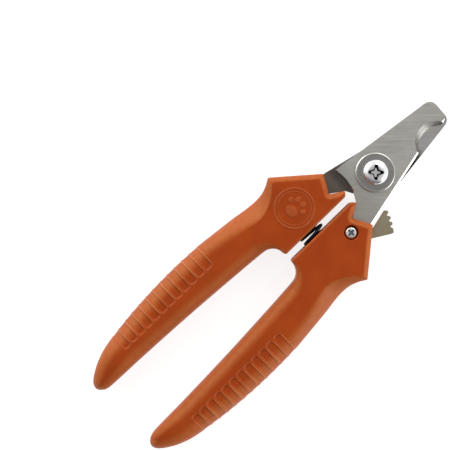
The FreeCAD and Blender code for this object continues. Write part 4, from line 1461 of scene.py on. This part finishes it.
@dataclass
class LockLever:
    """Lever plate with its thumb tab, and its screw, spring washer and nut."""

    top: float = 0.15
    thick: float = 2.15
    hub: float = 3.0
    bore: float = 1.32
    tooth_count: int = 4
    tooth_reach: float = 16.35
    tooth_valley: float = 15.25
    tab_top: Point = (-7.35, 12.6)
    tab_foot: Point = (-10.4, 21.3)
    screw_seat: float = 4.7
    screw_head: float = 2.45
    screw_tall: float = 1.75
    screw_side: float = 0.6
    screw_shank: float = 1.25
    screw_end: float = 6.6
    recess_reach: float = 1.75
    recess_arm: float = 0.31
    recess_waist: float = 0.46
    recess_deep: float = 1.2
    recess_turn: float = 4.0
    washer: float = 2.6
    washer_thick: float = 0.3
    nut_flats: float = 5.0
    nut_foot: float = 4.7
    nut_thick: float = 2.0

    def outline(self) -> list[Point]:
        """Plan outline of the lever: hub, locking arm, slit and toothed tab.

        Returns:
            The outline, from the locking arm round the teeth to the hub.
        """
        first = math.atan2(self.tab_top[1] - LEVER_Y, self.tab_top[0] - LEVER_X)
        last = math.atan2(self.tab_foot[1] - LEVER_Y, self.tab_foot[0] - LEVER_X)
        corners = [(-10.4, 11.27, 0.1), (-10.5, 12.15, 0.2), (-16.6, 13.52, 0.3), (-17.0, 15.0, 0.4),
                   (*self.tab_top, 0.5)]
        step = (last - first) / self.tooth_count
        for tooth in range(self.tooth_count):
            for share, reach in ((0.28, self.tooth_reach), (0.68, self.tooth_reach),
                                 (1.0, self.tooth_valley)):
                if tooth == self.tooth_count - 1 and share == 1.0:
                    continue
                angle = first + (tooth + share) * step
                corners.append((LEVER_X + reach * math.cos(angle), LEVER_Y + reach * math.sin(angle),
                                0.4 if share < 1.0 else 0.15))
        corners += [(-10.35, 21.35, 0.5), (-11.7, 20.8, 0.8), (-19.2, 16.3, 0.0), (-24.4, 11.9, 0.0)]
        hub = [(LEVER_X + self.hub * math.cos(angle), LEVER_Y + self.hub * math.sin(angle), 0.0)
               for angle in np.linspace(math.radians(150), math.radians(295), 16)]
        return round_corners([*corners, *hub], 4)

    def plate(self, groups: Groups) -> None:
        """Model the lever's plate.

        Args:
            groups: The shared node groups.
        """
        piece = prism("lock_lever_plate", self.outline(), self.top, self.top + self.thick)
        bore = turned("bore_cutter", ((self.bore, -1.0), (self.bore, 4.0)), 48)
        bore.data.transform(Matrix.Translation((LEVER_X, LEVER_Y, 0.0)))
        carve(piece, bore)
        face_outward(piece)
        break_edges(piece, 0.16, 50.0)
        finish_piece(piece, Half.RIGHT, LEVER_BODY, "lock_lever", LEVER_STEEL.build(groups))

    def screw(self, groups: Groups) -> None:
        """Model the small pan head screw; it is built head up, then turned over.

        Args:
            groups: The shared node groups.
        """
        seat, head, shank = self.screw_seat, self.screw_head, self.screw_shank
        side, crown = seat + self.screw_side, seat + self.screw_tall
        profile = [(shank - 0.2, -self.screw_end), (shank, 0.2 - self.screw_end), (shank, seat),
                   (head - 0.1, seat), (head, seat + 0.1), (head, side)]
        for step in range(1, 11):
            angle = math.radians(9 * step)
            profile.append((max(head * math.cos(angle) ** 0.65, 0.04),
                            side + (crown - side) * math.sin(angle)))
        piece = turned("lever_screw_plated", profile, 64)
        carve(piece, cross_recess_cutter(self.recess_reach, self.recess_arm, self.recess_waist, crown,
                                         self.recess_deep, self.recess_turn))
        face_outward(piece)
        # Painted shade on the recess walls.
        mark_faces(piece, Zone.HOLLOW, self.in_recess)
        break_edges(piece, 0.04, 40.0)
        piece.data.transform(Matrix.Translation((LEVER_X, LEVER_Y, 0.0)) @ Matrix.Rotation(math.pi, 4, "X"))
        finish_piece(piece, Half.RIGHT, Half.RIGHT.value, "lever_screw", ZINC_SCREW.build(groups), 40.0)

    def in_recess(self, spot: Vector) -> bool:
        """Whether a face of the small screw lies inside its cross recess.

        Args:
            spot: The face's middle.

        Returns:
            True inside the recess.
        """
        reach = math.hypot(spot.x, spot.y)
        rise = (self.screw_tall - self.screw_side) * math.sqrt(max(1 - reach ** 2 / 5.3, 0.0))
        dome = self.screw_seat + self.screw_side + rise
        return reach < self.recess_reach and self.screw_seat + 0.4 < spot.z < dome - 0.08

    def small_hardware(self, groups: Groups) -> None:
        """Model the spring washer and the captive nut.

        Args:
            groups: The shared node groups.
        """
        low, rim, bore = self.top + self.thick, self.washer, self.bore
        top = low + self.washer_thick
        section = ((bore, low + 0.04), (bore + 0.08, low), (rim - 0.1, low), (rim, low + 0.1),
                   (rim, top - 0.1), (rim - 0.1, top), (bore + 0.08, top), (bore, top - 0.08))
        washer = turned_ring("lever_washer_spring", section, 64)
        washer.data.transform(Matrix.Translation((LEVER_X, LEVER_Y, 0.0)))
        finish_piece(washer, Half.RIGHT, Half.RIGHT.value, "lever_washer", WASHER_STEEL.build(groups))
        radius, foot = self.nut_flats / math.sqrt(3), self.nut_foot
        crest = foot + self.nut_thick
        nut = turned("lever_nut_plated", ((radius - 0.25, foot), (radius, foot + 0.25), (radius, crest - 0.3),
                                          (radius - 0.3, crest)), 6)
        thread = self.screw_shank + 0.01
        carve(nut, turned("bore_cutter", ((thread, foot - 0.7), (thread, crest + 0.8)), 48))
        face_outward(nut)
        break_edges(nut, 0.08, 25.0)
        nut.data.transform(Matrix.Translation((LEVER_X, LEVER_Y, 0.0)))
        finish_piece(nut, Half.RIGHT, Half.RIGHT.value, "lever_nut", ZINC_SCREW.build(groups))

    def build(self, groups: Groups) -> None:
        """Model every piece of the lever.

        Args:
            groups: The shared node groups.
        """
        self.plate(groups)
        self.screw(groups)
        self.small_hardware(groups)


# ------------------------------------------------------------------------------ return spring

@dataclass
class ReturnSpring:
    """Black coil spring from the left handle's socket to the right handle's."""

    axis_x: float = -32.8
    mean: float = 4.7
    wire: float = 0.52
    half_length: float = 5.9
    turns: int = 6

    def build(self, groups: Groups) -> None:
        """Model the coils and finish them.

        Args:
            groups: The shared node groups.
        """
        bpy.ops.object.select_all(action="DESELECT")
        bpy.ops.mesh.primitive_circle_add(vertices=18, radius=self.wire, fill_type="NOTHING",
                                          location=(self.mean, 0.0, 0.0), rotation=(math.pi / 2, 0.0, 0.0))
        piece = new_piece("return_spring_coils")
        bpy.ops.object.transform_apply(location=True, rotation=True, scale=True)
        pitch = 2 * self.half_length / self.turns
        apply_modifier(piece, "SCREW", axis="Z", angle=2 * math.pi, iterations=self.turns, steps=56,
                       render_steps=56, screw_offset=pitch, use_merge_vertices=False)
        only(piece)
        bpy.ops.object.mode_set(mode="EDIT")
        bpy.ops.mesh.select_all(action="SELECT")
        bpy.ops.mesh.region_to_loop()
        bpy.ops.mesh.edge_face_add()
        bpy.ops.object.mode_set(mode="OBJECT")
        face_outward(piece)
        lay_down = Matrix.Rotation(-math.pi / 2, 4, "X")
        piece.data.transform(Matrix.Translation((self.axis_x, -self.half_length, 0.0)) @ lay_down)
        piece.data.transform(to_frame(Half.LEFT))
        write_zones(piece)
        piece.data.materials.clear()
        piece.data.materials.append(BLACK_WIRE.build(groups))
        only(piece)
        bpy.ops.object.shade_smooth_by_angle(angle=math.radians(40.0))
        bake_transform(piece)
        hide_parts("return_spring")
        log.info("%s: %d faces", piece.name, len(piece.data.polygons))


# ------------------------------------------------------------------------------ studio

@dataclass(frozen=True)
class SoftLight:
    """Square area light that faces the tool.

    bearing and height give its direction from the tool in degrees, size and distance are in
    metres, and power is in watts.
    """

    name: str
    bearing: float
    height: float
    size: float
    power: float
    distance: float = 0.9

    def hang(self) -> None:
        """Put the light in its place."""
        bpy.ops.object.select_all(action="DESELECT")
        angle, lift = math.radians(self.bearing), math.radians(self.height)
        place = self.distance * Vector((math.cos(angle) * math.cos(lift), math.sin(angle) * math.cos(lift),
                                        math.sin(lift)))
        bpy.ops.object.light_add(type="AREA", location=place)
        lamp = bpy.context.active_object
        lamp.name = self.name
        lamp.data.size = self.size
        lamp.data.energy = self.power
        lamp.rotation_euler = (-place).to_track_quat("-Z", "Y").to_euler()


LIGHTS = (SoftLight("light_upper_left", 92.0, 22.0, 0.7, 4.3),
          SoftLight("light_lower_right", -75.0, 15.0, 0.5, 3.1),
          SoftLight("light_upper_right", 15.0, 30.0, 0.6, 2.4))


@dataclass
class Studio:
    """Pale floor, soft lights round the tool, and a camera that looks straight down."""

    floor_size: float = 6.0
    floor_gap: float = 0.0002
    view_centre: Point = (-0.00540, 0.02519)
    view_width: float = 0.1687
    view_level: float = 0.010
    camera_height: float = 0.75
    roll: float = -44.2
    sensor: float = 36.0
    floor_glow: float = 0.82
    zenith: float = 0.42
    horizon: float = 0.95
    dark_side: float = 0.2
    dark_bearing: float = -152.0

    def floor(self) -> None:
        """Lay the floor."""
        bpy.ops.object.select_all(action="DESELECT")
        bpy.ops.mesh.primitive_plane_add(size=self.floor_size, location=(0.0, 0.0, -self.floor_gap))
        floor = new_piece(STAGE_PREFIX + "floor")
        material, sheet = new_material("pale_floor")
        place = sheet.add("ShaderNodeTexCoord").outputs["Object"]
        noise = sheet.add("ShaderNodeTexNoise", {"Vector": place, "Scale": 900.0, "Detail": 2.0})
        colour = sheet.mix(noise.outputs["Fac"], rgba((0.34, 0.34, 0.34)), rgba((0.37, 0.37, 0.37)))
        shader = sheet.add("ShaderNodeBsdfPrincipled", {"Base Color": colour, "Roughness": 0.9})
        shader.inputs["Emission Color"].default_value = (1.0, 1.0, 1.0, 1.0)
        shader.inputs["Emission Strength"].default_value = self.floor_glow
        sheet.add("ShaderNodeOutputMaterial", {"Surface": shader.outputs[0]})
        floor.data.materials.clear()
        floor.data.materials.append(material)

    def room(self) -> None:
        """Surround the tool with a pale room: bright low down, dimmer overhead."""
        world = bpy.data.worlds.new("soft_room")
        bpy.context.scene.world = world
        world.use_nodes = True
        sheet = Sheet(world.node_tree)
        toward = sheet.add("ShaderNodeTexCoord").outputs["Generated"]
        height = sheet.add("ShaderNodeSeparateXYZ", {"Vector": toward}).outputs["Z"]
        bearing = math.radians(self.dark_bearing)
        dark_way = (math.cos(bearing), math.sin(bearing), 0.0)
        facing = sheet.add("ShaderNodeVectorMath", {0: toward, 1: dark_way}, operation="DOT_PRODUCT")
        side = sheet.ramp(facing.outputs["Value"], 0.2, 0.75, 1.0, self.dark_side)
        low = sheet.maths("MULTIPLY", sheet.ramp(height, 0.66, 0.94, self.horizon, 0.0), side)
        strength = sheet.maths("ADD", low, sheet.ramp(height, 0.66, 0.94, 0.0, self.zenith))
        room = sheet.add("ShaderNodeBackground", {"Strength": strength})
        room.inputs["Color"].default_value = (1.0, 1.0, 1.0, 1.0)
        sheet.add("ShaderNodeOutputWorld", {"Surface": room.outputs[0]})
        bpy.context.scene.view_settings.view_transform = "Standard"

    def camera(self) -> None:
        """Set up the camera."""
        bpy.ops.object.select_all(action="DESELECT")
        x, y = self.view_centre
        bpy.ops.object.camera_add(location=(x, y, self.view_level + self.camera_height),
                                  rotation=(0.0, 0.0, math.radians(self.roll)))
        camera = bpy.context.active_object
        camera.data.sensor_width = self.sensor
        camera.data.lens = self.sensor * self.camera_height / self.view_width
        camera.data.dof.use_dof = False
        bpy.context.scene.camera = camera

    def build(self) -> None:
        """Set the whole stage."""
        self.floor()
        self.room()
        for soft_light in LIGHTS:
            soft_light.hang()
        self.camera()


def main() -> None:
    """Build the trimmer's pieces in order, then its stage."""
    logging.basicConfig(level=logging.INFO, format="%(name)s: %(message)s")
    groups = Groups(edge_highlight_group(), grain_group())
    for half in Half:
        Handle(half).build(groups)
        Blade(half).build(groups)
    PivotStack().build(groups)
    LockLever().build(groups)
    ReturnSpring().build(groups)
    Studio().build()


if __name__ == "__main__":
    main()
